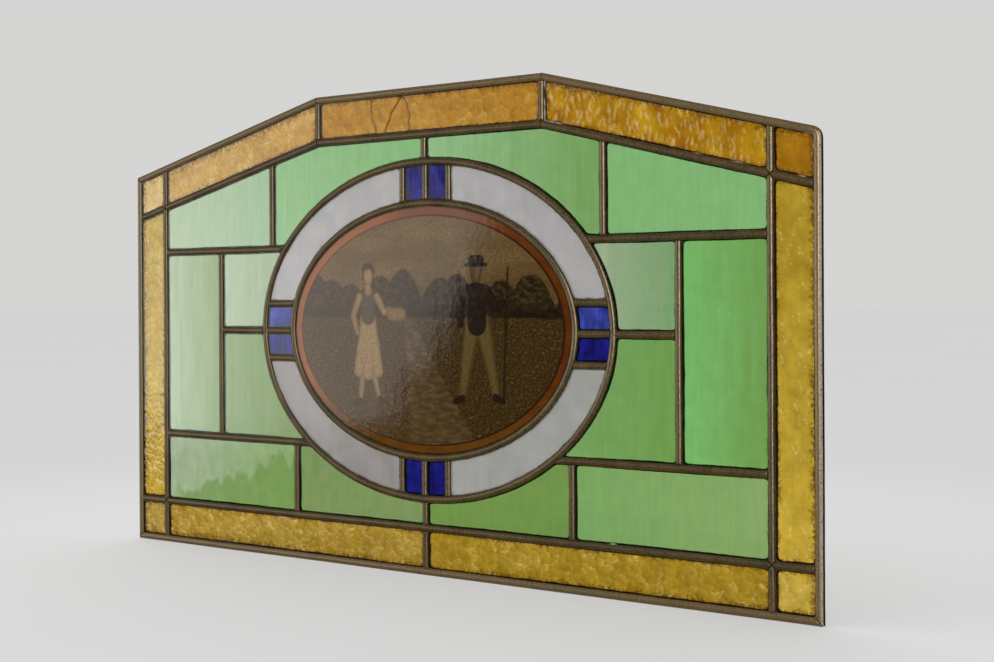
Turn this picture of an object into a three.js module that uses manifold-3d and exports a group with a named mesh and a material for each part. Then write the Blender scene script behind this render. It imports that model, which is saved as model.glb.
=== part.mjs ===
// A leaded window panel: pieces of coloured glass held in lead cames, with an oval painted
// roundel in the middle. Millimetres, +X to the right, +Y to the back, +Z up. The origin is
// the middle of the underside, half way through the thickness.
import * as THREE from "three";
import { mergeVertices } from "three/addons/utils/BufferGeometryUtils.js";
import Module from "manifold-3d";

const wasm = await Module();
wasm.setup();

// ---- driving dimensions ----

const panelWidth = 800;
const panelHeight = 462.5; // along the flat top
const sideHeight = 395.5; // along the upright sides, below the two slopes
const kneeX = 135.5; // where the flat top turns down into a slope
const roundCorner = 6; // the upper right corner is bent, not mitred

const cameWidth = 6.4; // face of every inner came
const cameDepth = 7; // front to back
const borderWidth = 6.6; // face of the came that runs round the outside
const borderDepth = 7.2;
const heart = 1.6; // the web between the two channels of a came
const borderWall = (borderWidth + heart) / 2; // the border's outer channel is packed with cement
const faceRound = 2.2; // how far in the rounding of a came's face starts
const faceRise = 1.3; // how deep that rounding is

const glassThick = 3;
const gap = 0.3; // clearance between pieces that touch

const sideLineX = 356; // centre lines of the inner frame's uprights
const sillLineZ = 44.5; // centre line of its lower bar
const frameTopZ = 417; // centre line of its upper bar, between the two knees

const ovalZ = 231.4; // height of the middle of the oval
const ovalOut = { x: 207.5, z: 159.5 }; // half width and half height, centre line
const ovalIn = { x: 168.5, z: 120.5 };
const ovalSegments = 48;

const upperZ = 312.5; // long level cames above the oval's middle
const middleZ = 229.5; // short level cames beside the oval
const lowerZ = 117.5; // long level cames below
const columnX = 271.5; // uprights of the tall side columns
const upperX = 197.5; // uprights above the long level cames
const lowerX = 164.6; // uprights below them
const dividerX = 134; // border dividers, where the inner frame's upper bar turns down

const blockPitch = 27.5; // spacing of the short bars between the blue blocks
const topShift = 1.5; // the upper group of blocks sits a little right of the middle
const bottomShift = -0.7;

// ---- plan shapes: drawn in X and Z, then extruded through the thickness ----

const slope = Math.atan2(panelHeight - sideHeight, panelWidth / 2 - kneeX);

const edgeTop = { z: panelHeight, knee: kneeX };
const frameTop = { z: frameTopZ, knee: dividerX };

// A line with a flat middle and two slopes, moved inwards by an offset, from left to right.
function topLine(top, inset, halfWidth) {
  const z = top.z - inset;
  const knee = top.knee - inset * Math.tan(slope / 2);
  const endZ = z - (halfWidth - knee) * Math.tan(slope);
  return [
    new THREE.Vector2(-halfWidth, endZ),
    new THREE.Vector2(-knee, z),
    new THREE.Vector2(knee, z),
    new THREE.Vector2(halfWidth, endZ),
  ];
}

function outline(inset) {
  const halfWidth = panelWidth / 2 - inset;
  return [
    new THREE.Vector2(halfWidth, inset),
    new THREE.Vector2(-halfWidth, inset),
    ...topLine(edgeTop, inset, halfWidth),
  ];
}

// The six-sided outline with its upper right corner bent to a radius.
function bentOutline() {
  const [right, left, shoulder, knee, rightKnee, corner] = outline(0);
  const along = rightKnee.clone().sub(corner).setLength(roundCorner).add(corner);
  const shape = new THREE.Shape([right, left, shoulder, knee, rightKnee, along]);
  shape.quadraticCurveTo(corner.x, corner.y, corner.x, corner.y - roundCorner);
  return shape;
}

function levelBar(x0, x1, z, width) {
  const half = width / 2;
  return new THREE.Shape([
    new THREE.Vector2(x0, z - half),
    new THREE.Vector2(x1, z - half),
    new THREE.Vector2(x1, z + half),
    new THREE.Vector2(x0, z + half),
  ]);
}

function uprightBar(x, z0, z1, width) {
  const half = width / 2;
  return new THREE.Shape([
    new THREE.Vector2(x - half, z0),
    new THREE.Vector2(x + half, z0),
    new THREE.Vector2(x + half, z1),
    new THREE.Vector2(x - half, z1),
  ]);
}

// The inner frame's upper bar, with its two slopes.
function topStrip(width) {
  const upper = topLine(frameTop, -width / 2, panelWidth / 2);
  const lower = topLine(frameTop, width / 2, panelWidth / 2);
  return new THREE.Shape([...upper, ...lower.reverse()]);
}

function ovalPoints(oval, offset) {
  const curve = new THREE.EllipseCurve(0, ovalZ, oval.x, oval.z, 0, Math.PI * 2);
  return curve.getPoints(ovalSegments).slice(0, -1).map((p) => {
    const normal = new THREE.Vector2(p.x / oval.x ** 2, (p.y - ovalZ) / oval.z ** 2);
    return p.clone().add(normal.setLength(offset || 1e-9));
  });
}

function ovalRing(oval, width) {
  const shape = new THREE.Shape(ovalPoints(oval, width / 2));
  shape.holes.push(new THREE.Path(ovalPoints(oval, -width / 2)));
  return shape;
}

// Half the oval's size along one axis at a given distance along the other.
const ovalHalfWidth = (oval, z) => oval.x * Math.sqrt(1 - ((z - ovalZ) / oval.z) ** 2);
const ovalHalfHeight = (oval, x) => oval.z * Math.sqrt(1 - (x / oval.x) ** 2);

// Height of the inner frame's top centre line at x.
const frameTopAt = (x) => frameTop.z - Math.max(0, Math.abs(x) - frameTop.knee) * Math.tan(slope);

// ---- solids ----

function solidOf(geometry) {
  geometry.deleteAttribute("normal");
  geometry.deleteAttribute("uv");
  const merged = mergeVertices(geometry, 1e-3);
  return new wasm.Manifold(
    new wasm.Mesh({
      numProp: 3,
      vertProperties: merged.attributes.position.array,
      triVerts: new Uint32Array(merged.index.array),
    }),
  );
}

// Extrudes a plan shape through the thickness, centred on the middle plane.
function slab(shape, depth) {
  const geometry = new THREE.ExtrudeGeometry(shape, { depth, bevelEnabled: false, curveSegments: 6 });
  return solidOf(geometry.translate(0, 0, -depth / 2).rotateX(Math.PI / 2));
}

// The same with both faces rounded over, which is a came's section.
function rounded(shape, depth) {
  const geometry = new THREE.ExtrudeGeometry(shape, {
    depth: depth - 2 * faceRise,
    bevelThickness: faceRise,
    bevelSize: faceRound,
    bevelOffset: -faceRound,
    bevelSegments: 2,
    curveSegments: 6,
  });
  return solidOf(geometry.translate(0, 0, faceRise - depth / 2).rotateX(Math.PI / 2));
}

const joined = (solids) => solids.reduce((all, next) => all.add(next));
const cut = (solid, cutters) => cutters.reduce((rest, next) => rest.subtract(next), solid);

// ---- the layout: each came as a plan drawn at any width ----
// "over" lengthens the ends, so that the webs of two cames meet inside each other.

const layout = [
  {
    name: "inner_frame",
    plans: (w) => [
      uprightBar(-sideLineX, 0, panelHeight, w),
      uprightBar(sideLineX, 0, panelHeight, w),
      levelBar(-panelWidth / 2, panelWidth / 2, sillLineZ, w),
      topStrip(w),
    ],
  },
  {
    name: "oval_ring",
    plans: (w, over) => [
      ovalRing(ovalOut, w),
      ovalRing(ovalIn, w),
      ...[-1, 0, 1].flatMap((i) => {
        const top = i * blockPitch + topShift;
        const bottom = i * blockPitch + bottomShift;
        const z = middleZ + i * blockPitch;
        const sides = [-1, 1].map((side) => {
          const ends = [ovalHalfWidth(ovalIn, z) - over, ovalHalfWidth(ovalOut, z) + over];
          const [x0, x1] = ends.map((x) => x * side).sort((a, b) => a - b);
          return levelBar(x0, x1, z, w);
        });
        return [
          uprightBar(
            top,
            ovalZ + ovalHalfHeight(ovalIn, top) - over,
            ovalZ + ovalHalfHeight(ovalOut, top) + over,
            w,
          ),
          uprightBar(
            bottom,
            ovalZ - ovalHalfHeight(ovalOut, bottom) - over,
            ovalZ - ovalHalfHeight(ovalIn, bottom) + over,
            w,
          ),
          ...sides,
        ];
      }),
    ],
  },
];

// A pair of level cames, left and right, from the inner frame or a column to the oval.
function levelPair(label, fromX, z) {
  for (const [side, word] of [[-1, "left"], [1, "right"]])
    layout.push({
      name: "level_came_" + label + "_" + word,
      plans: (w, over) => {
        const ends = [fromX + over, ovalHalfWidth(ovalOut, z) - over];
        const [x0, x1] = ends.map((x) => x * side).sort((a, b) => a - b);
        return [levelBar(x0, x1, z, w)];
      },
    });
}
levelPair("upper", sideLineX, upperZ);
levelPair("lower", sideLineX, lowerZ);
levelPair("middle", columnX, middleZ);

function uprightCame(name, x, z0, z1) {
  layout.push({ name, plans: (w, over) => [uprightBar(x, z0 - over, z1 + over, w)] });
}
for (const [side, word] of [[-1, "left"], [1, "right"]]) {
  uprightCame("upright_came_column_" + word, side * columnX, lowerZ, upperZ);
  uprightCame("upright_came_upper_" + word, side * upperX, upperZ, frameTopAt(upperX));
  uprightCame("upright_came_lower_" + word, side * lowerX, sillLineZ, lowerZ);
  uprightCame("border_divider_knee_" + word, side * dividerX, frameTopZ, panelHeight);
}
uprightCame("upright_came_centre_top", 0, ovalZ + ovalOut.z, frameTopZ);
uprightCame("upright_came_centre_bottom", 0, sillLineZ, ovalZ - ovalOut.z);
uprightCame("border_divider_centre_bottom", 0, 0, sillLineZ);

// ---- cames ----

const through = 30; // deeper than any piece, for cutters
const webOverrun = 0.6;

const webs = layout.flatMap(({ plans }) => plans(heart, webOverrun));
const channels = cut(
  slab(new THREE.Shape(outline(borderWall)), glassThick + 2 * gap),
  webs.map((plan) => slab(plan, through)),
);

const group = new THREE.Group();

function addPiece(name, solid, material) {
  const mesh = solid.getMesh();
  const geometry = new THREE.BufferGeometry();
  geometry.setAttribute("position", new THREE.BufferAttribute(mesh.vertProperties, 3));
  geometry.setIndex(new THREE.BufferAttribute(mesh.triVerts, 1));
  const flat = geometry.toNonIndexed();
  flat.computeVertexNormals();
  const piece = new THREE.Mesh(flat, material);
  piece.name = name;
  group.add(piece);
}

const lead = () => new THREE.MeshStandardMaterial({ color: 0x6e5f4b, roughness: 0.45, metalness: 0.8 });

const borderHole = new THREE.Path(outline(borderWidth).reverse());
const borderPlan = bentOutline();
borderPlan.holes.push(borderHole);
addPiece("border_came", rounded(borderPlan, borderDepth).subtract(channels), lead());

// Everything inside the border stops a gap short of it, and each came stops a gap short of
// the ones that were laid before it.
const inside = slab(new THREE.Shape(outline(borderWidth + gap)), through);
const laid = [];
for (const { name, plans } of layout) {
  const body = joined(plans(cameWidth, 0).map((plan) => rounded(plan, cameDepth)));
  const own = cut(body.intersect(inside), laid).subtract(channels);
  addPiece(name, own, lead());
  laid.push(...plans(cameWidth + 2 * gap, 0).map((plan) => slab(plan, through)));
}

// ---- glass: one sheet cut along every web, then named pane by pane ----

const panes = [
  ["border_pane_top_middle", "amber", 0, 440],
  ["border_pane_slope_left", "amber", -250, 405],
  ["border_pane_slope_right", "amber", 250, 405],
  ["border_pane_corner_top_left", "amber", -379, 378],
  ["border_pane_corner_top_right", "amber", 379, 378],
  ["border_pane_side_left", "amber", -379, 200],
  ["border_pane_side_right", "amber", 379, 200],
  ["border_pane_corner_bottom_left", "amber", -379, 22],
  ["border_pane_corner_bottom_right", "amber", 379, 22],
  ["border_pane_bottom_left", "amber", -200, 22],
  ["border_pane_bottom_right", "amber", 200, 22],
  ["green_pane_upper_outer_left", "green", -280, 340],
  ["green_pane_upper_outer_right", "green", 280, 340],
  ["green_pane_upper_inner_left", "green", -100, 400],
  ["green_pane_upper_inner_right", "green", 100, 400],
  ["green_pane_column_left", "green", -315, 215],
  ["green_pane_column_right", "green", 315, 215],
  ["green_pane_side_upper_left", "green", -240, 270],
  ["green_pane_side_upper_right", "green", 240, 270],
  ["green_pane_side_lower_left", "green", -240, 170],
  ["green_pane_side_lower_right", "green", 240, 170],
  ["green_pane_lower_outer_left", "green", -260, 80],
  ["green_pane_lower_outer_right", "green", 260, 80],
  ["green_pane_lower_inner_left", "green", -110, 70],
  ["green_pane_lower_inner_right", "green", 110, 70],
  ["opal_arc_top_left", "opal", -133, 330],
  ["opal_arc_top_right", "opal", 133, 330],
  ["opal_arc_bottom_left", "opal", -133, 134],
  ["opal_arc_bottom_right", "opal", 133, 134],
  ["blue_block_top_left", "blue", -13, 372],
  ["blue_block_top_right", "blue", 15, 372],
  ["blue_block_bottom_left", "blue", -14, 92],
  ["blue_block_bottom_right", "blue", 13, 92],
  ["blue_block_left_upper", "blue", -188, 243],
  ["blue_block_left_lower", "blue", -188, 216],
  ["blue_block_right_upper", "blue", 188, 243],
  ["blue_block_right_lower", "blue", 188, 216],
  ["painted_roundel", "painted", 0, 232],
];

const glassLooks = {
  amber: { color: 0xc9963a, roughness: 0.25 },
  green: { color: 0x8cc084, roughness: 0.25 },
  opal: { color: 0xc4c6c2, roughness: 0.3 },
  blue: { color: 0x1c1c78, roughness: 0.15 },
  painted: { color: 0x6e5a3c, roughness: 0.35 },
};
const glass = (kind) =>
  new THREE.MeshStandardMaterial({ ...glassLooks[kind], metalness: 0, transparent: true, opacity: 0.8 });

const webRoom = layout.flatMap(({ plans }) => plans(heart + 2 * gap, webOverrun));
const sheet = slab(new THREE.Shape(outline(borderWall + gap)), glassThick);
const pieces = cut(sheet, webRoom.map((plan) => slab(plan, through))).decompose();

for (const piece of pieces) {
  const { min, max } = piece.boundingBox();
  const middle = [(min[0] + max[0]) / 2, (min[2] + max[2]) / 2];
  const away = ([, , x, z]) => Math.hypot(x - middle[0], z - middle[1]);
  const nearest = panes.reduce((best, pane) => (away(pane) < away(best) ? pane : best));
  addPiece(nearest[0], piece, glass(nearest[1]));
}

export default group;
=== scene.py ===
# %% [markdown]
# # A leaded window panel
# Pieces of coloured glass are held in lead cames, strips of lead with an H-shaped section. The joints
# are soldered, and dark cement is brushed under the cames to seal them. This lesson dresses the plain
# solids of such a panel: it sweeps every came again with its rounded face, cuts every pane with its
# real relief, and paints the oval roundel in the middle.

# %% The frame
import math

import bpy
import numpy as np
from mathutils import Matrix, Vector, geometry


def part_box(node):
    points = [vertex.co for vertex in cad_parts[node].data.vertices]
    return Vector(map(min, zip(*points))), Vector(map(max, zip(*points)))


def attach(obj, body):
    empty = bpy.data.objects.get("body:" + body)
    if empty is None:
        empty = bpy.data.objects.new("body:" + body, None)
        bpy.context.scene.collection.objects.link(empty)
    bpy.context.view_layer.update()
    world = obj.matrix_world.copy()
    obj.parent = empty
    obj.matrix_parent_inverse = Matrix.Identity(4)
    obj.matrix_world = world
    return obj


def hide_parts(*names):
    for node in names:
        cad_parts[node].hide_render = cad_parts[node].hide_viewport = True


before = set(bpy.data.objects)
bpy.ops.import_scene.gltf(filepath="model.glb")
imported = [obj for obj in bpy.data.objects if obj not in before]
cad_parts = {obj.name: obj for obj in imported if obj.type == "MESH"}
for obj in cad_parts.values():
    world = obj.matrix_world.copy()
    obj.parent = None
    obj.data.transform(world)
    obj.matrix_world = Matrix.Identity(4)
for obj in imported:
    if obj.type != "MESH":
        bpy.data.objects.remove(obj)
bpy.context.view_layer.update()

MM = 0.001

# %% [markdown]
# ## The sizes that everything follows
# All plan positions are in millimetres, as (x, z) on the panel. They are read from the boxes of the
# solids, so that the lead and the glass can't drift apart. Only the few sizes that a box doesn't
# show are stated here: the web inside a came, the clearance round the glass and its half thickness.

# %% Sizes
HEART = 1.6
GAP = 0.3
GLASS_HALF = 1.5


def plan_box(node):
    """Left, right, bottom and top of a solid, in millimetres."""
    low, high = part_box(node)
    return low.x / MM, high.x / MM, low.z / MM, high.z / MM


def between(left_node, right_node):
    """Middle of the came that stands between two panes."""
    return (plan_box(left_node)[1] + plan_box(right_node)[0]) / 2


def above(low_node, high_node):
    """Height of the came that lies between two panes."""
    return (plan_box(low_node)[3] + plan_box(high_node)[2]) / 2


half_panel = plan_box("border_came")[1]
panel_top = plan_box("border_came")[3]
border_points = np.array([(v.co.x, v.co.z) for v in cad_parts["border_came"].data.vertices]) / MM
side_top = border_points[border_points[:, 0] < -half_panel + 0.01][:, 1].max()
knee_x = border_points[border_points[:, 1] > panel_top - 0.01][:, 0].max()
border_inset = half_panel - plan_box("border_pane_side_right")[1]
BORDER = 2 * (border_inset - GAP) - HEART
CAME = plan_box("upright_came_centre_top")[1] - plan_box("upright_came_centre_top")[0]
CAME_HALF_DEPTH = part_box("upright_came_centre_top")[1].y / MM
BORDER_HALF_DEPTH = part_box("border_came")[1].y / MM
WEB_SIDE = HEART / 2 + GAP

frame_x = between("green_pane_column_right", "border_pane_side_right")
sill_z = above("border_pane_bottom_left", "green_pane_lower_outer_left")
column_x = between("green_pane_side_upper_right", "green_pane_column_right")
upper_x = between("green_pane_upper_inner_right", "green_pane_upper_outer_right")
lower_x = between("green_pane_lower_inner_right", "green_pane_lower_outer_right")
knee_divider_x = between("border_pane_top_middle", "border_pane_slope_right")
upper_z = above("green_pane_side_upper_right", "green_pane_upper_outer_right")
middle_z = above("green_pane_side_lower_right", "green_pane_side_upper_right")
lower_z = above("green_pane_lower_outer_right", "green_pane_side_lower_right")
strip_top = above("green_pane_upper_inner_right", "border_pane_top_middle")

ring_box = plan_box("oval_ring")
oval_z = (ring_box[2] + ring_box[3]) / 2
OUTER = np.array([ring_box[1] - CAME / 2, (ring_box[3] - ring_box[2] - CAME) / 2])
roundel_box = plan_box("painted_roundel")
INNER = np.array([roundel_box[1] + WEB_SIDE, (roundel_box[3] - roundel_box[2]) / 2 + WEB_SIDE])
print("came", round(CAME, 2), "border", round(BORDER, 2), "ovals", OUTER.round(1), INNER.round(1))

# %% [markdown]
# ## The view
# The panel is seen a little from the right, at about its own mid height, through a normal lens. The
# standard view transform keeps the colours of the glass as they are set.

# %% Camera
CAMERA_PLACE = (0.8790, -1.1154, 0.2615)
CAMERA_TURN = (89.832, 0.303, 35.511)

camera_data = bpy.data.cameras.new("camera")
camera = bpy.data.objects.new("camera", camera_data)
camera.location = CAMERA_PLACE
camera.rotation_euler = [math.radians(a) for a in CAMERA_TURN]
camera_data.lens = 54.31
camera_data.sensor_width = 36
camera_data.shift_y = -0.0287
camera_data.clip_start = 0.01
bpy.context.scene.collection.objects.link(camera)
bpy.context.scene.camera = camera
bpy.context.scene.view_settings.view_transform = "Standard"

# %% [markdown]
# ## Small tools
# Hand-made lead and glass are never quite even. A value noise, smooth lumps with a size of one unit,
# is enough for all their unevenness, and it gives the same numbers on every run.

# %% Noise
def lattice(ix, iz, seed):
    """A number from -1 to 1 for each point of a whole-numbered grid."""
    h = (ix * 374761393 + iz * 668265263 + seed * 974634777) & 0xFFFFFFFF
    h = ((h ^ (h >> 13)) * 1274126177) & 0xFFFFFFFF
    return ((h ^ (h >> 16)) & 0xFFFF) / 32767.5 - 1


def smooth(t):
    t = np.clip(t, 0, 1)
    return t * t * (3 - 2 * t)


def noise(x, z, seed):
    """Smooth lumps from -1 to 1, each about one unit across."""
    ix = np.floor(x).astype(np.int64)
    iz = np.floor(z).astype(np.int64)
    sx = smooth(x - ix)
    sz = smooth(z - iz)
    near = lattice(ix, iz, seed) * (1 - sx) + lattice(ix + 1, iz, seed) * sx
    far = lattice(ix, iz + 1, seed) * (1 - sx) + lattice(ix + 1, iz + 1, seed) * sx
    return near * (1 - sz) + far * sz


def rough_noise(x, z, seed):
    """Lumps with smaller lumps on them."""
    finer = noise(x * 2.1, z * 2.1, seed + 1) * 0.3 + noise(x * 4.3, z * 4.3, seed + 2) * 0.15
    return noise(x, z, seed) * 0.6 + finer


# %% [markdown]
# A mesh is made from arrays of points and faces. Values that change over a piece, such as the depth of
# a seam, travel with the points as attributes, and the materials read them. Faces are smooth, with
# sharp edges where the surface really turns.

# %% Meshes
def build_mesh(name, points, faces, materials, values=None, colours=None, sharp=45):
    mesh = bpy.data.meshes.new(name)
    mesh.from_pydata((np.asarray(points) * MM).tolist(), [], faces)
    for material in materials:
        mesh.materials.append(material)
    mesh.polygons.foreach_set("use_smooth", np.ones(len(mesh.polygons), bool))
    mesh.set_sharp_from_angle(angle=math.radians(sharp))
    for key, array in (values or {}).items():
        mesh.attributes.new(key, "FLOAT", "POINT").data.foreach_set("value", np.asarray(array, np.float32))
    for key, array in (colours or {}).items():
        rgba = np.ones((len(array), 4), np.float32)
        rgba[:, :3] = array
        mesh.attributes.new(key, "FLOAT_COLOR", "POINT").data.foreach_set("color", rgba.ravel())
    piece = bpy.data.objects.new(name, mesh)
    bpy.context.scene.collection.objects.link(piece)
    return piece


triangle_count = {}


def place(piece, slot, *nodes):
    """The piece rides with the panel and stands for its solids."""
    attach(piece, "root")
    if nodes:
        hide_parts(*nodes)
    triangle_count[piece.name] = sum(len(p.vertices) - 2 for p in piece.data.polygons)
    return piece


# %% [markdown]
# ## Node tools
# Materials are wired by code. These helpers keep each step of a material on one line: make a node,
# set its plain values, and join its inputs to the outputs of earlier nodes.

# %% Node helpers
def fill(tree, node, inputs):
    """Sets or joins the inputs of a node. A key such as i2 means the input with that number."""
    for key, value in inputs.items():
        numbered = key[0] == "i" and key[1:].isdigit()
        socket = node.inputs[int(key[1:]) if numbered else key.replace("_", " ")]
        if isinstance(value, bpy.types.NodeSocket):
            tree.links.new(value, socket)
        else:
            socket.default_value = value


def add(tree, kind, settings=None, **inputs):
    """A node with settings, and inputs given as plain values or as sockets to join."""
    node = tree.nodes.new(kind)
    for key, value in (settings or {}).items():
        setattr(node, key, value)
    fill(tree, node, inputs)
    return node


def maths(tree, operation, *values, clamp=False):
    node = add(tree, "ShaderNodeMath", {"operation": operation, "use_clamp": clamp},
               **{f"i{n}": v for n, v in enumerate(values)})
    return node.outputs[0]


def vector_maths(tree, operation, *values):
    node = add(tree, "ShaderNodeVectorMath", {"operation": operation},
               **{f"i{n}": v for n, v in enumerate(values)})
    return node.outputs["Value" if operation in ("LENGTH", "DOT_PRODUCT") else "Vector"]



def mix_colour(tree, share, a, b):
    return add(tree, "ShaderNodeMix", {"data_type": "RGBA"}, i0=share, i6=a, i7=b).outputs[2]


def mix_value(tree, share, a, b):
    return add(tree, "ShaderNodeMix", {"data_type": "FLOAT"}, i0=share, i2=a, i3=b).outputs[0]


def step(tree, value, low, high, out_low=0.0, out_high=1.0):
    """A smooth step from one value to another."""
    node = add(tree, "ShaderNodeMapRange", {"interpolation_type": "SMOOTHSTEP"}, Value=value,
               From_Min=low, From_Max=high, To_Min=out_low, To_Max=out_high)
    return node.outputs[0]


def texture(tree, spot, scale, detail=3.0, roughness=0.55):
    node = add(tree, "ShaderNodeTexNoise", Vector=spot, Scale=scale, Detail=detail, Roughness=roughness)
    return node.outputs[0]


def attribute(tree, name, output="Fac"):
    return add(tree, "ShaderNodeAttribute", {"attribute_name": name}).outputs[output]


def place_of(tree, scale=(1, 1, 1)):
    """The point's own place on the panel in metres, stretched."""
    coordinates = add(tree, "ShaderNodeTexCoord").outputs["Object"]
    return vector_maths(tree, "MULTIPLY", coordinates, scale)


def group(name, inputs, outputs):
    """An empty node group with named sockets, and its two end nodes."""
    tree = bpy.data.node_groups.new(name, "ShaderNodeTree")
    for label, kind, value in inputs:
        socket = tree.interface.new_socket(label, in_out="INPUT", socket_type="NodeSocket" + kind)
        if value is not None:
            socket.default_value = value
    for label, kind in outputs:
        tree.interface.new_socket(label, in_out="OUTPUT", socket_type="NodeSocket" + kind)
    return tree, tree.nodes.new("NodeGroupInput").outputs, tree.nodes.new("NodeGroupOutput").inputs


def use(tree, node_group, **inputs):
    node = tree.nodes.new("ShaderNodeGroup")
    node.node_tree = node_group
    fill(tree, node, inputs)
    return node.outputs


def material(name):
    """A new material, its tree and its Principled shader."""
    made = bpy.data.materials.new(name)
    made.use_nodes = True
    tree = made.node_tree
    return made, tree, tree.nodes["Principled BSDF"]


def bump(tree, height, strength, distance):
    return add(tree, "ShaderNodeBump", Height=height, Strength=strength, Distance=distance).outputs[0]


# %% [markdown]
# ## Lead with a bronze-brown patina
# Old cames are rubbed with patina and wax, so that little of the bare metal shows. The face is a dark
# warm brown with a satin gloss, a little mottled, and dull with dirt in the seams. The border came is
# worn paler in front, and along the upright sides its outer front lips carry a painted highlight in
# pale crumbly specks, which stands for the reflection of a bright wall. One group makes the mottling
# and the dirt, and both the lead and the cement use it with values of their own.

# %% Mottle group
mottle, given, made = group(
    "mottle",
    [("Base", "Color", (0.3, 0.22, 0.14, 1)), ("Deep", "Color", (0.12, 0.09, 0.05, 1)),
     ("Pale", "Color", (0.45, 0.36, 0.26, 1)), ("Seam", "Float", 0.0), ("Scale", "Float", 1.0)],
    [("Color", "Color"), ("Roughness", "Float"), ("Height", "Float")],
)
spot = place_of(mottle)
large = texture(mottle, spot, maths(mottle, "MULTIPLY", given["Scale"], 38.0), 3)
small = texture(mottle, spot, maths(mottle, "MULTIPLY", given["Scale"], 420.0), 4)
grain = texture(mottle, spot, maths(mottle, "MULTIPLY", given["Scale"], 2600.0), 2)
colour = mix_colour(mottle, step(mottle, large, 0.30, 0.62), given["Deep"], given["Base"])
colour = mix_colour(mottle, step(mottle, small, 0.55, 0.80, 0, 0.45), colour, given["Pale"])
colour = mix_colour(mottle, step(mottle, small, 0.42, 0.26, 0, 0.4), colour, given["Deep"])
dirt = maths(mottle, "MULTIPLY", given["Seam"], step(mottle, grain, 0.2, 0.6, 0.65, 0.9), clamp=True)
dark = vector_maths(mottle, "MULTIPLY", given["Deep"], (0.22, 0.22, 0.2))
mottle.links.new(mix_colour(mottle, dirt, colour, dark), made["Color"])
rough = maths(mottle, "ADD", step(mottle, small, 0.3, 0.7, 0.24, 0.37), maths(mottle, "MULTIPLY", dirt, 0.35))
mottle.links.new(rough, made["Roughness"])
height = maths(mottle, "ADD", maths(mottle, "MULTIPLY", small, 0.7), maths(mottle, "MULTIPLY", grain, 0.3))
mottle.links.new(height, made["Height"])

# %% Lead and cement
lead, tree, shader = material("lead_came")
finish = use(tree, mottle, Base=(0.132, 0.082, 0.016, 1), Deep=(0.088, 0.050, 0.007, 1),
             Pale=(0.20, 0.135, 0.045, 1), Seam=attribute(tree, "seam"), Scale=1.0)
spot = place_of(tree)
green_dirt = step(tree, texture(tree, spot, 9.0, 2), 0.50, 0.68, 0, 0.55)
colour = mix_colour(tree, green_dirt, finish["Color"], (0.070, 0.068, 0.018, 1))
worn = maths(tree, "MULTIPLY", attribute(tree, "worn"), 0.6)
colour = mix_colour(tree, worn, colour, (0.27, 0.185, 0.080, 1))
# Painted highlight: pale crumbly specks on the marked outer lips of the border stand for the reflection of a
# bright wall, and are a little rougher.
crumbs = step(tree, texture(tree, spot, 900.0, 2), 0.36, 0.46)
sheen_specks = maths(tree, "MULTIPLY", attribute(tree, "painted_sheen"), crumbs)
colour = mix_colour(tree, sheen_specks, colour, (0.60, 0.54, 0.42, 1))
tree.links.new(colour, shader.inputs["Base Color"])
left_end = add(tree, "ShaderNodeSeparateXYZ", Vector=spot).outputs["X"]
sheen_roughness = maths(tree, "MULTIPLY", sheen_specks, 0.4)
dull = maths(tree, "MAXIMUM", step(tree, left_end, -0.02, -0.16, 0, 0.06), sheen_roughness)
tree.links.new(maths(tree, "ADD", finish["Roughness"], dull), shader.inputs["Roughness"])
tree.links.new(bump(tree, finish["Height"], 0.22, 0.00025), shader.inputs["Normal"])
shader.inputs["Metallic"].default_value = 0.3
shader.inputs["IOR"].default_value = 1.85

cement, tree, shader = material("cement")
finish = use(tree, mottle, Base=(0.026, 0.023, 0.007, 1), Deep=(0.011, 0.010, 0.003, 1),
             Pale=(0.065, 0.050, 0.022, 1), Seam=0.0, Scale=1.6)
# Painted shade: beside amber panes the cement is painted browner, for the dim amber light in the dark band
# along the came.
amber_shade = mix_colour(tree, attribute(tree, "amber"), finish["Color"], (0.105, 0.056, 0.008, 1))
putty = mix_colour(tree, attribute(tree, "putty"), amber_shade, (0.50, 0.44, 0.39, 1))
tree.links.new(putty, shader.inputs["Base Color"])
tree.links.new(maths(tree, "ADD", finish["Roughness"], 0.3), shader.inputs["Roughness"])
tree.links.new(bump(tree, finish["Height"], 0.8, 0.0004), shader.inputs["Normal"])

# %% [markdown]
# ## The section of a came
# Both faces of the H are rounded over. The section is a closed loop of (across, depth) points: the
# front face, down into the right channel, round the back face, and out of the left channel. The came
# that runs round the outside has no glass in its outer channel, which is packed with old cement, so
# that side is a shallow, crumbly groove. Along the upright sides its outer front lips get a painted
# highlight, which stands for the reflection of a bright wall.

# %% Sections
LIP = 2.1
CHANNEL = GLASS_HALF + GAP
FACE_STEPS = 13
HIDDEN = 1.95


def face(half_width, crown, count, sign):
    """One rounded face, from the left lip to the right lip on the front."""
    t = np.sin(np.linspace(-math.pi / 2, math.pi / 2, count))
    depth = LIP + (crown - LIP) * (1 - t * t) ** 0.65
    return np.stack([t * half_width * -sign, depth * sign], axis=1)


def came_section(half_width, crown, left_web, right_web):
    """A closed section. A web position is where the side of the channel stands."""
    front = face(half_width, crown, FACE_STEPS, -1)
    back = face(half_width, crown, FACE_STEPS - 4, 1)
    right = [(half_width, -CHANNEL), (right_web, -CHANNEL), (right_web, CHANNEL), (half_width, CHANNEL)]
    left = [(-half_width, CHANNEL), (-left_web, CHANNEL), (-left_web, -CHANNEL), (-half_width, -CHANNEL)]
    return np.array([*front, *right, *back, *left])


inner_section = came_section(CAME / 2, CAME_HALF_DEPTH - 0.08, HEART / 2, HEART / 2)
groove = BORDER / 2 - 1.5
border_section = came_section(BORDER / 2, BORDER_HALF_DEPTH - 0.05, groove, HEART / 2)
print("section points", len(inner_section))

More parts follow.
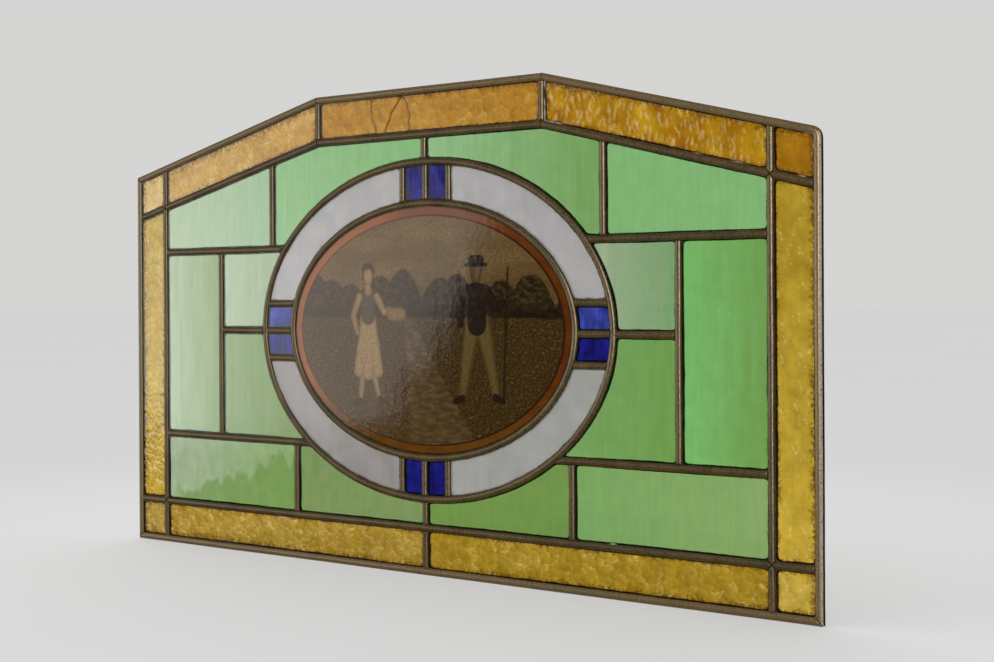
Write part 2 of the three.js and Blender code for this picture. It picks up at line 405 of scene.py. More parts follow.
# %% [markdown]
# ## Sweeping the section
# A bar is the section moved along a line. Its ends are cut to fit: a mitre where two bars turn a
# corner, a point where four meet. Close to a joint the rounded face dips, which draws the fine dark
# seam that is left between two cames. Where a bar only butts against another, it runs on beneath
# that one's face, so that no gap can open.

# %% Bars
SEAM_WIDTH = 0.6
END_ZONE = 9.0
STATION_SPACING = 5.0
FAR = 50.0


class Tubes:
    """Collects the closed tubes of one piece, such as the bars of a leading."""

    def __init__(self, name):
        self.name = name
        self.points = []
        self.faces = []
        self.values = []
        self.seed = sum(map(ord, name))

    def add(self, points, values, closed):
        """Adds a tube of rings of points, closed on itself or with two end caps."""
        base = sum(map(len, self.points))
        rings, around = points.shape[:2]
        ring = np.arange(rings if closed else rings - 1)[:, None]
        turn = np.arange(around)[None, :]
        here = ring * around
        there = ((ring + 1) % rings) * around
        after = (turn + 1) % around
        quads = np.stack([here + turn, here + after, there + after, there + turn], axis=-1)
        self.faces += (quads.reshape(-1, 4) + base).tolist()
        if not closed:
            self.faces.append((np.arange(around)[::-1] + base).tolist())
            self.faces.append((np.arange(around) + base + (rings - 1) * around).tolist())
        self.points.append(points.reshape(-1, 3))
        self.values.append(values)

    def build(self, material):
        values = {key: np.concatenate([v[key].ravel() for v in self.values]) for key in self.values[0]}
        return build_mesh(self.name + "_made", np.concatenate(self.points), self.faces, [material], values)


def dip(section_depth, clear):
    """Depths of the section after the face has sunk towards a seam, and how much it sank."""
    rise = smooth((clear + 0.25) / (SEAM_WIDTH + 0.25))
    size = np.abs(section_depth)
    sunk = np.where(size > HIDDEN, HIDDEN + (size - HIDDEN) * rise, size)
    return np.sign(section_depth) * sunk, 1 - rise


def wobble(path, seed):
    """The slight sideways waver of a came that was stretched and laid by hand."""
    x, z = path[:, 0], path[:, 1]
    return noise(x / 70, z / 70, seed) * 0.14 + noise(x / 19, z / 19, seed + 5) * 0.05


def sweep(piece, path, across, line, section, head=None, tail=None, clear_of=(), closed=False):
    """Adds a bar. head and tail give how far the cut leans back for each unit to the left and to the
    right of the line; clear_of are functions that give a point's distance from other cames."""
    piece.seed += 13
    seed = piece.seed
    ahead = np.gradient(path, line, axis=0)
    ahead /= np.linalg.norm(ahead, axis=1)[:, None]
    v = section[:, 1][None, :]
    u = section[:, 0][None, :] + 0 * line[:, None]
    outside = (section is border_section) & (u < -BORDER * 0.2)
    in_groove = outside & (np.abs(v) < CHANNEL + 0.01)
    packed = in_groove & (u > 0.2 - BORDER / 2)
    u = u + packed * noise(path[:, :1] / 3, path[:, 1:] / 3, seed + 7) * 0.9
    upright = smooth((np.abs(ahead[:, 1:]) - 0.8) / 0.15)
    # Painted highlight: the outer front lip along the upright border sides is marked for a pale colour that
    # stands for the reflection of a bright wall.
    painted_sheen = outside * smooth((-u / BORDER * 2 - 0.45) / 0.2) * (v < -CHANNEL - 0.01) * upright
    worn = np.full(u.shape, 1.0 if section is border_section else 0.0) * (v < 0)
    s = line[:, None] + 0 * u
    length = line[-1]
    clear = np.full(s.shape, FAR)
    move = 0 * s
    for cut, distance, sign in ((head, line, 1), (tail, length - line, -1)):
        if cut is None:
            continue
        lean = np.where(u > 0, cut[1] * u, -cut[0] * u)
        steep = np.where(u > 0, cut[1], cut[0])
        share = np.clip(1 - distance[:, None] / END_ZONE, 0, 1)
        move = move + sign * lean * share
        behind = distance[:, None] + lean * share - lean
        clear = np.minimum(clear, behind / np.sqrt(1 + steep ** 2))
    waver = wobble(path, seed)[:, None]
    swell = 0.988 + 0.012 * noise(path[:, :1] / 33, path[:, 1:] / 33, seed + 3)
    plan = path[:, None, :] + across[:, None, :] * (u * swell + waver)[..., None]
    plan = plan + ahead[:, None, :] * move[..., None]
    x = plan[..., 0]
    z = plan[..., 1]
    for distance_to in clear_of:
        clear = np.minimum(clear, distance_to(x, z))
    depth, seam = dip(v, clear)
    depth = depth * (0.988 + 0.012 * noise(x / 21, z / 21 + np.sign(v) * 3, seed + 9))
    values = {"seam": np.maximum(seam, in_groove), "painted_sheen": painted_sheen, "worn": worn}
    piece.add(np.stack([x, depth, z], axis=-1), values, closed)


def stations(length):
    """Places along a bar, closer together near its ends where the face dips."""
    ends = [0, 0.5, 1.1, 1.8, 2.6, 3.2, 3.6, 4.0, 4.5, 5.1, 5.9, 7.0]
    ends = [e for e in ends if e < length / 2]
    middle_count = max(1, round((length - 2 * ends[-1]) / STATION_SPACING))
    middle = np.linspace(ends[-1], length - ends[-1], middle_count + 1)[1:-1]
    return np.array([*ends, *middle, *[length - e for e in reversed(ends)]])


def straight(piece, start, end, section=None, **ends):
    """A straight bar from one point to another."""
    start = np.array(start, float)
    end = np.array(end, float)
    length = np.linalg.norm(end - start)
    direction = (end - start) / length
    line = stations(length)
    path = start + direction * line[:, None]
    across = np.tile([direction[1], -direction[0]], (len(line), 1))
    sweep(piece, path, across, line, inner_section if section is None else section, **ends)


# %% [markdown]
# ## Where cames meet
# A bar has to know how far it is from the cames that it butts against. Each kind of came has its own
# measure of distance: the border, a level or upright came, the bent bar under the top, and the ovals.

# %% Distances
slope = math.atan2(panel_top - side_top, half_panel - knee_x)
OUTLINE = np.array([
    (-half_panel, 0), (-half_panel, side_top), (-knee_x, panel_top),
    (knee_x, panel_top), (half_panel, side_top), (half_panel, 0),
])


def edge_depths(x, z):
    """Distance inwards from each of the six edges of the outline."""
    slanted = (side_top - z) * math.cos(slope) + (half_panel - np.abs(x)) * math.sin(slope)
    return z, half_panel - np.abs(x), panel_top - z, slanted


def off_border(x, z):
    return np.minimum.reduce(edge_depths(x, z)) - BORDER


def off_strip(x, z):
    """Distance from the inner frame's top bar, which has a level middle and two slopes."""
    level = strip_top - z
    slanted = level * math.cos(slope) + (knee_divider_x - np.abs(x)) * math.sin(slope)
    return np.abs(np.minimum(level, slanted)) - CAME / 2


def off_upright(x0):
    return lambda x, z: np.abs(x - x0) - CAME / 2


def off_level(z0):
    return lambda x, z: np.abs(z - z0) - CAME / 2


def oval_distance(x, z, half):
    """Signed distance from an oval, positive outside."""
    reach = np.hypot(x / half[0], (z - oval_z) / half[1])
    fall = np.hypot(x / half[0] ** 2, (z - oval_z) / half[1] ** 2) / np.maximum(reach, 1e-6)
    return (reach - 1) / np.maximum(fall, 1e-9)


def off_oval(half):
    return lambda x, z: np.abs(oval_distance(x, z, half)) - CAME / 2


def oval_x(half, z):
    return half[0] * math.sqrt(1 - ((z - oval_z) / half[1]) ** 2)


def oval_half_height(half, x):
    return half[1] * math.sqrt(1 - (x / half[0]) ** 2)


def strip_z(x):
    """Height of that bar's middle line."""
    return strip_top - max(0, abs(x) - knee_divider_x) * math.tan(slope)


# %% [markdown]
# ## The border came
# It runs round the outside in five lengths. They are mitred at every corner but the upper right one,
# where one length is bent round from the slope into the right side.

# %% Border came
def inset_corner(points, index, inset):
    """A corner of the outline moved inwards by the same distance from both edges."""
    before = points[index] - points[index - 1]
    after = points[(index + 1) % len(points)] - points[index]
    before = before / np.linalg.norm(before)
    after = after / np.linalg.norm(after)
    inward = np.array([before[1], -before[0]]) + np.array([after[1], -after[0]])
    return points[index] + inward * inset / (1 + before @ after)


def lean_at(points, index):
    """How far a mitre leans for each unit across, at a corner of the outline."""
    before = points[index] - points[index - 1]
    after = points[(index + 1) % len(points)] - points[index]
    turn = math.atan2(before[0] * after[1] - before[1] * after[0], before @ after)
    return math.tan(-turn / 2)


WAVER_ROOM = 0.15
corners = np.array([inset_corner(OUTLINE, i, BORDER / 2 + WAVER_ROOM) for i in range(len(OUTLINE))])
leans = [lean_at(OUTLINE, i) for i in range(len(OUTLINE))]
LEFT_FOOT, LEFT_SHOULDER, LEFT_KNEE, RIGHT_KNEE, RIGHT_SHOULDER, RIGHT_FOOT = range(6)
BEND = 6.0

border = Tubes("border_came")
mitred = ((LEFT_FOOT, LEFT_SHOULDER), (LEFT_SHOULDER, LEFT_KNEE), (LEFT_KNEE, RIGHT_KNEE),
          (RIGHT_FOOT, LEFT_FOOT))
mitres = [(-lean, lean) for lean in leans]
for first, last in mitred:
    straight(border, corners[first], corners[last], border_section, head=mitres[first], tail=mitres[last])

down = corners[RIGHT_FOOT] - corners[RIGHT_SHOULDER]
back = corners[RIGHT_KNEE] - corners[RIGHT_SHOULDER]
slope_line = stations(np.linalg.norm(back) - BEND)
side_line = stations(np.linalg.norm(down) - BEND)
down /= np.linalg.norm(down)
back /= np.linalg.norm(back)
bend = np.linspace(0, 1, 9)[1:-1, None]
bend_start = corners[RIGHT_SHOULDER] + back * BEND
bend_end = corners[RIGHT_SHOULDER] + down * BEND
path = np.concatenate([
    corners[RIGHT_KNEE] - back * slope_line[:, None],
    bend_start * (1 - bend) ** 2 + corners[RIGHT_SHOULDER] * 2 * bend * (1 - bend) + bend_end * bend ** 2,
    bend_end + down * side_line[:, None],
])
line = np.concatenate([[0], np.cumsum(np.linalg.norm(np.diff(path, axis=0), axis=1))])
heading = np.gradient(path, line, axis=0)
heading /= np.linalg.norm(heading, axis=1)[:, None]
across = np.stack([heading[:, 1], -heading[:, 0]], axis=1)
sweep(border, path, across, line, border_section, head=mitres[RIGHT_KNEE], tail=mitres[RIGHT_FOOT])
place(border.build(lead), "lead_came", "border_came")
print("border bars", len(border.points), "mitre leans", np.round(leans, 2))

# %% [markdown]
# ## The inner frame
# Two uprights, a sill and a top bar with two slopes. Where an upright crosses the sill or the top
# bar, four bars meet in points, and their seams draw a small X.

# %% Inner frame
SQUARE = (1.0, 1.0)
wide = 1 / math.tan((math.pi / 2 + slope) / 2)
narrow = 1 / math.tan((math.pi / 2 - slope) / 2)
edge_x = half_panel - BORDER / 2
edge_top = side_top + (half_panel - frame_x) * math.tan(slope) - BORDER / 2 / math.cos(slope)
knee_cut = (-math.tan(slope / 2), math.tan(slope / 2))

inner = Tubes("inner_frame")
for side in (-1, 1):
    x = side * frame_x
    lower_cut = (wide, narrow)[::side]
    upper_cut = (narrow, wide)[::side]
    straight(inner, (x, BORDER / 2), (x, sill_z), tail=SQUARE, clear_of=[off_border])
    straight(inner, (x, sill_z), (x, strip_z(x)), head=SQUARE, tail=lower_cut)
    straight(inner, (x, strip_z(x)), (x, edge_top), head=upper_cut, clear_of=[off_border])
straight(inner, (-edge_x, sill_z), (-frame_x, sill_z), tail=SQUARE, clear_of=[off_border])
straight(inner, (-frame_x, sill_z), (frame_x, sill_z), head=SQUARE, tail=SQUARE)
straight(inner, (frame_x, sill_z), (edge_x, sill_z), head=SQUARE, clear_of=[off_border])
strip_stops = [(x, strip_z(x)) for x in (-edge_x, -frame_x, -knee_divider_x, knee_divider_x, frame_x, edge_x)]
strip_cuts = [(None, (wide, narrow)), ((narrow, wide), knee_cut), (knee_cut, knee_cut),
              (knee_cut, (narrow, wide)), ((wide, narrow), None)]
for a, b, (head, tail) in zip(strip_stops, strip_stops[1:], strip_cuts):
    straight(inner, a, b, head=head, tail=tail, clear_of=[off_border])
place(inner.build(lead), "lead_came", "inner_frame")
print("inner frame bars", len(inner.points))

# %% [markdown]
# ## The two ovals
# Cames were bent round the roundel and round the white ring, and twelve short bars between them hold
# the blue blocks. Four of the joints on the outer oval are struck by cames from both sides, and there
# the oval itself is cut, so it gets the same small X of seams.

# %% Oval ring
def oval_line(half, spacing):
    """Points and outward directions round an oval, counter-clockwise."""
    round_trip = 2 * math.pi * math.sqrt((half[0] ** 2 + half[1] ** 2) / 2)
    angle = np.linspace(0, 2 * math.pi, round(round_trip / spacing) + 1)[:-1]
    points = np.stack([half[0] * np.cos(angle), oval_z + half[1] * np.sin(angle)], axis=1)
    out = np.stack([np.cos(angle) / half[0], np.sin(angle) / half[1]], axis=1)
    return points, out / np.linalg.norm(out, axis=1)[:, None]


def x_seams(places):
    """Distance from the crossed seams at some joints of the oval."""
    def clear(x, z):
        least = np.full(x.shape, FAR)
        for px, pz in places:
            dx, dz = np.abs(x - px), np.abs(z - pz)
            beyond = np.maximum(0, np.maximum(dx, dz) - CAME / 2 - 0.6)
            least = np.minimum(least, np.abs(dx - dz) / math.sqrt(2) + 0.1 + beyond * 2)
        return least
    return clear


top_and_foot = [(0, oval_z + OUTER[1]), (0, oval_z - OUTER[1])]
flanks = [(side * oval_x(OUTER, middle_z), middle_z) for side in (1, -1)]
ring = Tubes("oval_ring")
for half, spacing, seams in ((OUTER, 1.6, [x_seams(top_and_foot + flanks)]), (INNER, 2.4, [])):
    points, out = oval_line(half, spacing)
    line = np.concatenate([[0], np.cumsum(np.linalg.norm(np.diff(points, axis=0), axis=1))])
    sweep(ring, points, out, line, inner_section, clear_of=seams, closed=True)

block_height = above("blue_block_right_upper", "opal_arc_top_right") - middle_z
off_ovals = [off_oval(OUTER), off_oval(INNER)]
for word, up in (("top", 1), ("bottom", -1)):
    row = [f"opal_arc_{word}_left", f"blue_block_{word}_left", f"blue_block_{word}_right",
           f"opal_arc_{word}_right"]
    for x in map(between, row, row[1:]):
        stops = [(x, oval_z + up * oval_half_height(half, x)) for half in (INNER, OUTER)[::up]]
        straight(ring, *stops, clear_of=off_ovals)
for z in (middle_z - block_height, middle_z, middle_z + block_height):
    for side in (-1, 1):
        straight(ring, (side * oval_x(INNER, z), z), (side * oval_x(OUTER, z), z), clear_of=off_ovals)
place(ring.build(lead), "lead_came", "oval_ring")
print("oval ring bars", len(ring.points), "triangles", triangle_count["oval_ring_made"])

# %% [markdown]
# ## The straight cames
# Each one is a node of the solids, and butts at both ends against a came that runs through.

# %% Straight cames
def single(name, start, end, clear_of):
    tubes = Tubes(name)
    straight(tubes, start, end, clear_of=clear_of)
    place(tubes.build(lead), "lead_came", name)


off_outer = off_oval(OUTER)
for side, word in ((-1, "left"), (1, "right")):
    for label, z in (("upper", upper_z), ("lower", lower_z)):
        single(f"level_came_{label}_{word}", (side * oval_x(OUTER, z), z), (side * frame_x, z),
               [off_outer, off_upright(side * frame_x)])
    x = side * column_x
    single(f"level_came_middle_{word}", (side * oval_x(OUTER, middle_z), middle_z), (x, middle_z),
           [off_outer, off_upright(x)])
    single(f"upright_came_column_{word}", (x, lower_z), (x, upper_z),
           [off_level(lower_z), off_level(upper_z)])
    x = side * upper_x
    single(f"upright_came_upper_{word}", (x, upper_z), (x, strip_z(x)), [off_level(upper_z), off_strip])
    x = side * lower_x
    single(f"upright_came_lower_{word}", (x, sill_z), (x, lower_z), [off_level(sill_z), off_level(lower_z)])
    x = side * knee_divider_x
    single(f"border_divider_knee_{word}", (x, strip_z(x)), (x, panel_top - BORDER / 2),
           [off_strip, off_border])
single("upright_came_centre_top", (0, oval_z + OUTER[1]), (0, strip_z(0)), [off_outer, off_strip])
single("upright_came_centre_bottom", (0, sill_z), (0, oval_z - OUTER[1]), [off_outer, off_level(sill_z)])
single("border_divider_centre_bottom", (0, BORDER / 2), (0, sill_z), [off_level(sill_z), off_border])
print("straight cames done,", sum(triangle_count.values()), "triangles of lead so far")

# %% [markdown]
# ## The outline of a pane
# The glazier cut each pane a little smaller than its opening between the webs. The outline is read
# from the flat solid, split into sides at its corners, and stretches that follow an oval are put
# back on the true curve. Moving every side inwards by the same distance, and trimming the sides where
# they cross, gives the line where a came's lip or the cement ends.

# %% Pane outlines
CORNER_TURN = 20


def cad_outline(node):
    """Corner points of a pane's front face, counter-clockwise."""
    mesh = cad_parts[node].data
    keys = [(round(v.co.x / MM, 2), round(v.co.z / MM, 2)) for v in mesh.vertices]
    rim = set()
    for polygon in mesh.polygons:
        if polygon.normal.y < -0.9:
            loop = [keys[i] for i in polygon.vertices]
            for a, b in zip(loop, loop[1:] + loop[:1]):
                if (b, a) in rim:
                    rim.remove((b, a))
                elif a != b:
                    rim.add((a, b))
    follow = dict(rim)
    outline = [min(follow)]
    while follow[outline[-1]] != outline[0]:
        outline.append(follow[outline[-1]])
    return np.array(outline)


def turns(points):
    """Turn at each point of a closed outline, in degrees."""
    after = np.roll(points, -1, axis=0) - points
    before = np.roll(after, 1, axis=0)
    crossed = before[:, 0] * after[:, 1] - before[:, 1] * after[:, 0]
    return np.degrees(np.arctan2(crossed, (before * after).sum(axis=1)))


def onto_ovals(points):
    """Puts points that lie beside a facet of an oval onto the true curve."""
    for half in (OUTER, INNER):
        for offset in (-WEB_SIDE, WEB_SIDE):
            curve = half + offset
            away = oval_distance(points[:, 0], points[:, 1], curve)
            out = (points - (0, oval_z)) / curve ** 2
            out /= np.maximum(np.linalg.norm(out, axis=1)[:, None], 1e-12)
            near = np.abs(away) < 0.6
            points = np.where(near[:, None], points - out * away[:, None], points)
    return points


def evenly(points, count):
    """The same line with its points evenly spaced."""
    far = np.concatenate([[0], np.cumsum(np.linalg.norm(np.diff(points, axis=0), axis=1))])
    at = np.linspace(0, far[-1], count)
    return np.stack([np.interp(at, far, points[:, 0]), np.interp(at, far, points[:, 1])], axis=1)


def pane_sides(node):
    """The sides of a pane, each a fine line of points. A round pane has one closed side."""
    outline = cad_outline(node)
    outline = outline[np.abs(turns(outline)) > 0.5]
    corner = np.flatnonzero(turns(outline) > CORNER_TURN)
    if len(corner) == 0:
        loop = np.concatenate([outline, outline[:1]])
        length = np.linalg.norm(np.diff(loop, axis=0), axis=1).sum()
        return [onto_ovals(evenly(loop, round(length)))]
    outline = np.roll(outline, -corner[0], axis=0)
    corner = np.append(corner - corner[0], len(outline))
    outline = np.concatenate([outline, outline[:1]])
    sides = []
    for a, b in zip(corner, corner[1:]):
        side = outline[a:b + 1]
        length = np.linalg.norm(np.diff(side, axis=0), axis=1).sum()
        sides.append(onto_ovals(evenly(side, max(6, round(length)))))
    return sides


def crossing(first, second):
    """Where two lines cross, as places along each, or their ends if they don't."""
    p, r = first[:-1, None], np.diff(first, axis=0)[:, None]
    q, s = second[None, :-1], np.diff(second, axis=0)[None]
    across = r[..., 0] * s[..., 1] - r[..., 1] * s[..., 0]
    across = np.where(np.abs(across) < 1e-9, 1e-9, across)
    gap = q - p
    t = (gap[..., 0] * s[..., 1] - gap[..., 1] * s[..., 0]) / across
    w = (gap[..., 0] * r[..., 1] - gap[..., 1] * r[..., 0]) / across
    hits = np.argwhere((t >= 0) & (t <= 1) & (w >= 0) & (w <= 1))
    if len(hits) == 0:
        return len(first) - 1.0, 0.0
    i, j = hits[-1]
    return i + t[i, j], j + w[i, j]


def stretch(points, start, end):
    """Part of a line between two fractional places."""
    index = np.arange(len(points))
    inside = index[(index > start) & (index < end)]
    at = np.concatenate([[start], inside, [end]])
    return np.stack([np.interp(at, index, points[:, 0]), np.interp(at, index, points[:, 1])], axis=1)


def inset_loop(sides, inset, spacing):
    """A closed loop inside the pane at a distance from its edge. Loops of one pane and one spacing
    have the same number of points, side by side."""
    moved = []
    for side in sides:
        ahead = np.gradient(side, axis=0)
        if len(sides) == 1:
            ahead[0] = ahead[-1] = side[1] - side[-2]
        ahead /= np.linalg.norm(ahead, axis=1)[:, None]
        moved.append(side + inset * np.stack([-ahead[:, 1], ahead[:, 0]], axis=1))
    if len(sides) == 1:
        count = round(np.linalg.norm(np.diff(sides[0], axis=0), axis=1).sum() / spacing)
        return evenly(moved[0], count + 1)[:-1]
    starts, ends = [0.0] * len(sides), [len(m) - 1.0 for m in moved]
    if inset > 0:
        for i in range(len(sides)):
            j = (i + 1) % len(sides)
            ends[i], starts[j] = crossing(moved[i], moved[j])
    loop = []
    for side, line, start, end in zip(sides, moved, starts, ends):
        count = max(3, round(np.linalg.norm(np.diff(side, axis=0), axis=1).sum() / spacing))
        loop.append(evenly(stretch(line, start, end), count + 1)[:-1])
    return np.concatenate(loop)


def soften(loop, reach):
    """Rounds a closed loop's corners by averaging each point with its neighbours."""
    spread = np.arange(-12, 13)
    weight = np.exp(-(spread / reach) ** 2 / 2)
    weight /= weight.sum()
    return sum(w * np.roll(loop, int(k), axis=0) for k, w in zip(spread, weight))


LEAD_WORDS = ("came", "divider", "frame", "ring")
pane_names = sorted(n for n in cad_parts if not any(word in n for word in LEAD_WORDS))
sides_of = {name: pane_sides(name) for name in pane_names}
print(len(pane_names), "panes; sides of each", sorted({len(s) for s in sides_of.values()}))

# %% [markdown]
# ## Cement
# Dark glazing cement fills the channels and shows as a thin ragged line along every came, wider in
# the corners of a pane, which look rounded because of it. Each pane has one bead in front and one
# behind, where it was left wider. A bead is a three-sided tube: under the lip, at the lip's edge, and
# out on the glass. Pale putty was pressed in at a few places where the joint had opened. Against
# amber glass the cement is painted browner, a painted amber-tinted shade for the dim amber light in
# the dark band beside the came.

# %% Cement beads
LIP_INSET = CAME / 2 - WEB_SIDE
BEAD_SPACING = 2.0
BACK_SPREAD = 1.1
PUTTY = [(136.5, 452, 4), (137.5, 436, 4), (137.5, 426, 7), (145, 420, 5), (152, 418, 4), (290, 383, 3),
         (328, 374, 6), (388, 388, 5), (393, 381, 3), (384, 358, 3), (-5, 18, 3), (206, 48, 3)]
PUTTY_SPREAD = 1.5
LEAST_LEDGE = 0.3


def bead_width(loop, seed, ragged):
    x, z = loop[:, 0], loop[:, 1]
    lumps = np.abs(noise(x / 5, z / 5, seed)) * 0.45 + np.maximum(0, noise(x / 13, z / 13, seed + 1)) * 0.7
    teeth = np.maximum(0, noise(x / 2.6, z / 2.6, seed + 2)) * 0.5
    return 0.25 + ragged * (lumps + teeth)


def putty_near(x, z):
    """How much of the bead is putty, from 0 to 1."""
    return np.max([np.exp(-((x - px) ** 2 + (z - pz) ** 2) / size ** 2) for px, pz, size in PUTTY], axis=0)


cement_beads = Tubes("cement_beads")
sight_lines = {}
for number, name in enumerate(pane_names):
    sides = sides_of[name]
    under = inset_loop(sides, LIP_INSET - 0.7, BEAD_SPACING)
    lip = inset_loop(sides, LIP_INSET - 0.05, BEAD_SPACING)
    ragged = 0.75 if "border" in name else 0.6
    inward = inset_loop(sides, LIP_INSET + 1.0, BEAD_SPACING) - lip
    inward /= np.linalg.norm(inward, axis=1)[:, None]
    rounding = 1.7 if "border" in name else 1.3
    for face_sign, seed in ((-1, 100 + number), (1, 300 + number)):
        ledge = LEAST_LEDGE + (1 - LEAST_LEDGE) * smooth((inward[:, 1] + 0.7) / 1.1)
        width = bead_width(lip, seed, ragged) * ledge
        if face_sign > 0:
            width = width + BACK_SPREAD
        else:
            width = width + PUTTY_SPREAD * putty_near(lip[:, 0], lip[:, 1])
        toe = soften(lip, rounding) + inward * width[:, None]
        if face_sign < 0:
            sight_lines[name] = toe
        rings = np.stack([
            np.column_stack([under[:, 0], np.full(len(under), face_sign * (GLASS_HALF - 0.3)), under[:, 1]]),
            np.column_stack([toe[:, 0], np.full(len(toe), face_sign * (GLASS_HALF - 0.25)), toe[:, 1]]),
            np.column_stack([lip[:, 0], np.full(len(lip), face_sign * (LIP - 0.15)), lip[:, 1]]),
        ], axis=1)
        if face_sign > 0:
            rings = rings[:, ::-1]
        values = {"putty": putty_near(rings[..., 0], rings[..., 2]),
                  "amber": np.full(rings.shape[:2], 0.75 if "border" in name else 0.0)}
        cement_beads.add(rings, values, closed=True)
place(cement_beads.build(cement), "lead_came")
print("cement beads", len(cement_beads.points), "triangles", triangle_count["cement_beads_made"])

# %% [markdown]
# ## Cutting a pane
# A pane is a closed slab: the outline is filled with an even net of points, joined into triangles,
# and the same net makes the back. The surface of old cathedral glass isn't flat, so every kind of
# glass gives each point its own relief. The pane also carries its tint and the distance to the line
# where the cement begins, for the darker rim beside it, which is painted shade: the shadow of the came
# and its dark flange seen through the glass. That painted shade is wider along the outer edge of the
# border, most of all at the left, so the distance is made to grow slower there.

# %% Glass slabs
LEAST_BEAD = 0.4
SHADED_OUTSIDE = 0.62
SHADED_LEFT = 0.45


def net(loop, spacing, extra=None):
    """Points inside a loop on a triangular net, with a free margin, and the triangles that join all."""
    low = loop.min(axis=0)
    high = loop.max(axis=0)
    rows = np.arange(low[1], high[1], spacing * 0.866)
    columns = np.arange(low[0], high[0], spacing)
    gx, gz = np.meshgrid(columns, rows)
    gx = gx + (np.arange(len(rows)) % 2)[:, None] * spacing / 2
    points = np.stack([gx.ravel(), gz.ravel()], axis=1)
    points = points[inside(points, loop)]
    points = points[nearest(points, loop) > spacing * 0.55]
    if extra is not None:
        points = points[nearest(points, extra) > spacing * 0.6]
        points = np.concatenate([points, extra])
    everything = np.concatenate([loop, points])
    rim = [list(range(len(loop)))]
    found = geometry.delaunay_2d_cdt([Vector(p) for p in everything.tolist()], [], rim, 1, 1e-4)
    if len(found[0]) != len(everything):
        raise ValueError("the net lost or gained points")
    return everything, np.array(found[2])


def inside(points, loop):
    x, z = points[:, 0][:, None], points[:, 1][:, None]
    x0, z0 = loop[:, 0][None], loop[:, 1][None]
    x1, z1 = np.roll(loop[:, 0], -1)[None], np.roll(loop[:, 1], -1)[None]
    spans = (z0 > z) != (z1 > z)
    at = x0 + (z - z0) * (x1 - x0) / np.where(np.abs(z1 - z0) < 1e-12, 1e-12, z1 - z0)
    return (spans & (x < at)).sum(axis=1) % 2 == 1


def nearest(points, others):
    """Distance from each point to the nearest of the others."""
    best = np.full(len(points), np.inf)
    for part in np.array_split(others, max(1, len(others) // 200)):
        gap = (points[:, None, 0] - part[None, :, 0]) ** 2 + (points[:, None, 1] - part[None, :, 1]) ** 2
        best = np.minimum(best, gap.min(axis=1))
    return np.sqrt(best)


def cut_pane(name, look, extra=None, grooves=None):
    """A slab for one pane. The look gives relief in front and behind in millimetres, and the tint."""
    loop = inset_loop(sides_of[name], 0, look["spacing"])
    plan, triangles = net(loop, look["spacing"], extra)
    x, z = plan[:, 0], plan[:, 1]
    front, back, tint = look["surface"](x, z)
    if grooves is not None:
        front = front - grooves(x, z) * 0.45
    rim = len(loop)
    count = len(plan)
    points = np.concatenate([
        np.column_stack([x, -GLASS_HALF - front, z]),
        np.column_stack([x, GLASS_HALF + back, z]),
    ])
    a = np.arange(rim)
    b = (a + 1) % rim
    sides = np.stack([a, a + count, b + count, b], axis=1)
    faces = triangles.tolist() + (triangles[:, ::-1] + count).tolist() + sides.tolist()
    depth = nearest(plan, sight_lines[name]) * np.where(inside(plan, sight_lines[name]), 1, -1)
    if name.startswith("border"):
        slower = np.where(x < -knee_x, SHADED_LEFT, SHADED_OUTSIDE)
        depth = np.minimum(depth, (off_border(x, z) - LEAST_BEAD) * slower)
    values = {"edge": np.tile(depth, 2)}
    if grooves is not None:
        values["crack"] = np.tile(grooves(x, z), 2)
    tints = {"tint": np.tile(tint, (2, 1))}
    return build_mesh(name + "_made", points, faces, [look["material"]], values, tints, sharp=60)


# %% [markdown]
# ## Glass materials
# All the glass is see-through: its transmission, its metallic value and its index of refraction are
# plain values. Only its colour, its gloss and its fine bumps change over the surface. The group below
# takes the pane's tint and adds what every kind of old glass has: drawn streaks, a mottle and seeds,
# whose rings are lightened as a painted highlight. It also darkens a ragged rim beside the cement with
# painted shade, for the shadow of the came and its dark flange seen through the glass.

# %% Glass group
glass_group, given, made = group(
    "old_glass",
    [("Tint", "Color", (0.5, 0.5, 0.5, 1)), ("Edge", "Float", 5.0), ("Streak", "Float", 0.15),
     ("Mottle", "Float", 0.1),
     ("Seeds", "Float", 0.0), ("Rim", "Color", (0.1, 0.04, 0.01, 1)), ("Rim Width", "Float", 1.5),
     ("Ragged", "Float", 0.0)],
    [("Color", "Color"), ("Roughness", "Float"), ("Height", "Float")],
)
spot = place_of(glass_group)
drawn = texture(glass_group, place_of(glass_group, (1, 1, 0.07)), 330.0, 4, 0.6)
cloud = texture(glass_group, spot, 62.0, 4, 0.55)
fine = texture(glass_group, spot, 700.0, 3, 0.6)
lighter = maths(glass_group, "MULTIPLY", step(glass_group, drawn, 0.35, 0.7, -1.0, 1.0), given["Streak"])
lighter = maths(glass_group, "ADD", lighter,
                maths(glass_group, "MULTIPLY", step(glass_group, cloud, 0.3, 0.7, -1.0, 1.0),
                      given["Mottle"]))
seed_cells = add(glass_group, "ShaderNodeTexVoronoi", Vector=place_of(glass_group, (1, 1, 0.55)), Scale=210.0)
seed_far = seed_cells.outputs["Distance"]
chosen = step(glass_group, texture(glass_group, spot, 30.0, 2), 0.50, 0.60)
seed_ring = maths(glass_group, "MULTIPLY", step(glass_group, seed_far, 0.05, 0.10),
                  step(glass_group, seed_far, 0.19, 0.12))
rare = add(glass_group, "ShaderNodeSeparateColor", Color=seed_cells.outputs["Color"]).outputs[0]
seed_mask = maths(glass_group, "MULTIPLY", seed_ring, step(glass_group, rare, 0.80, 0.86))
seed_mask = maths(glass_group, "MULTIPLY", maths(glass_group, "MULTIPLY", seed_mask, chosen), given["Seeds"])
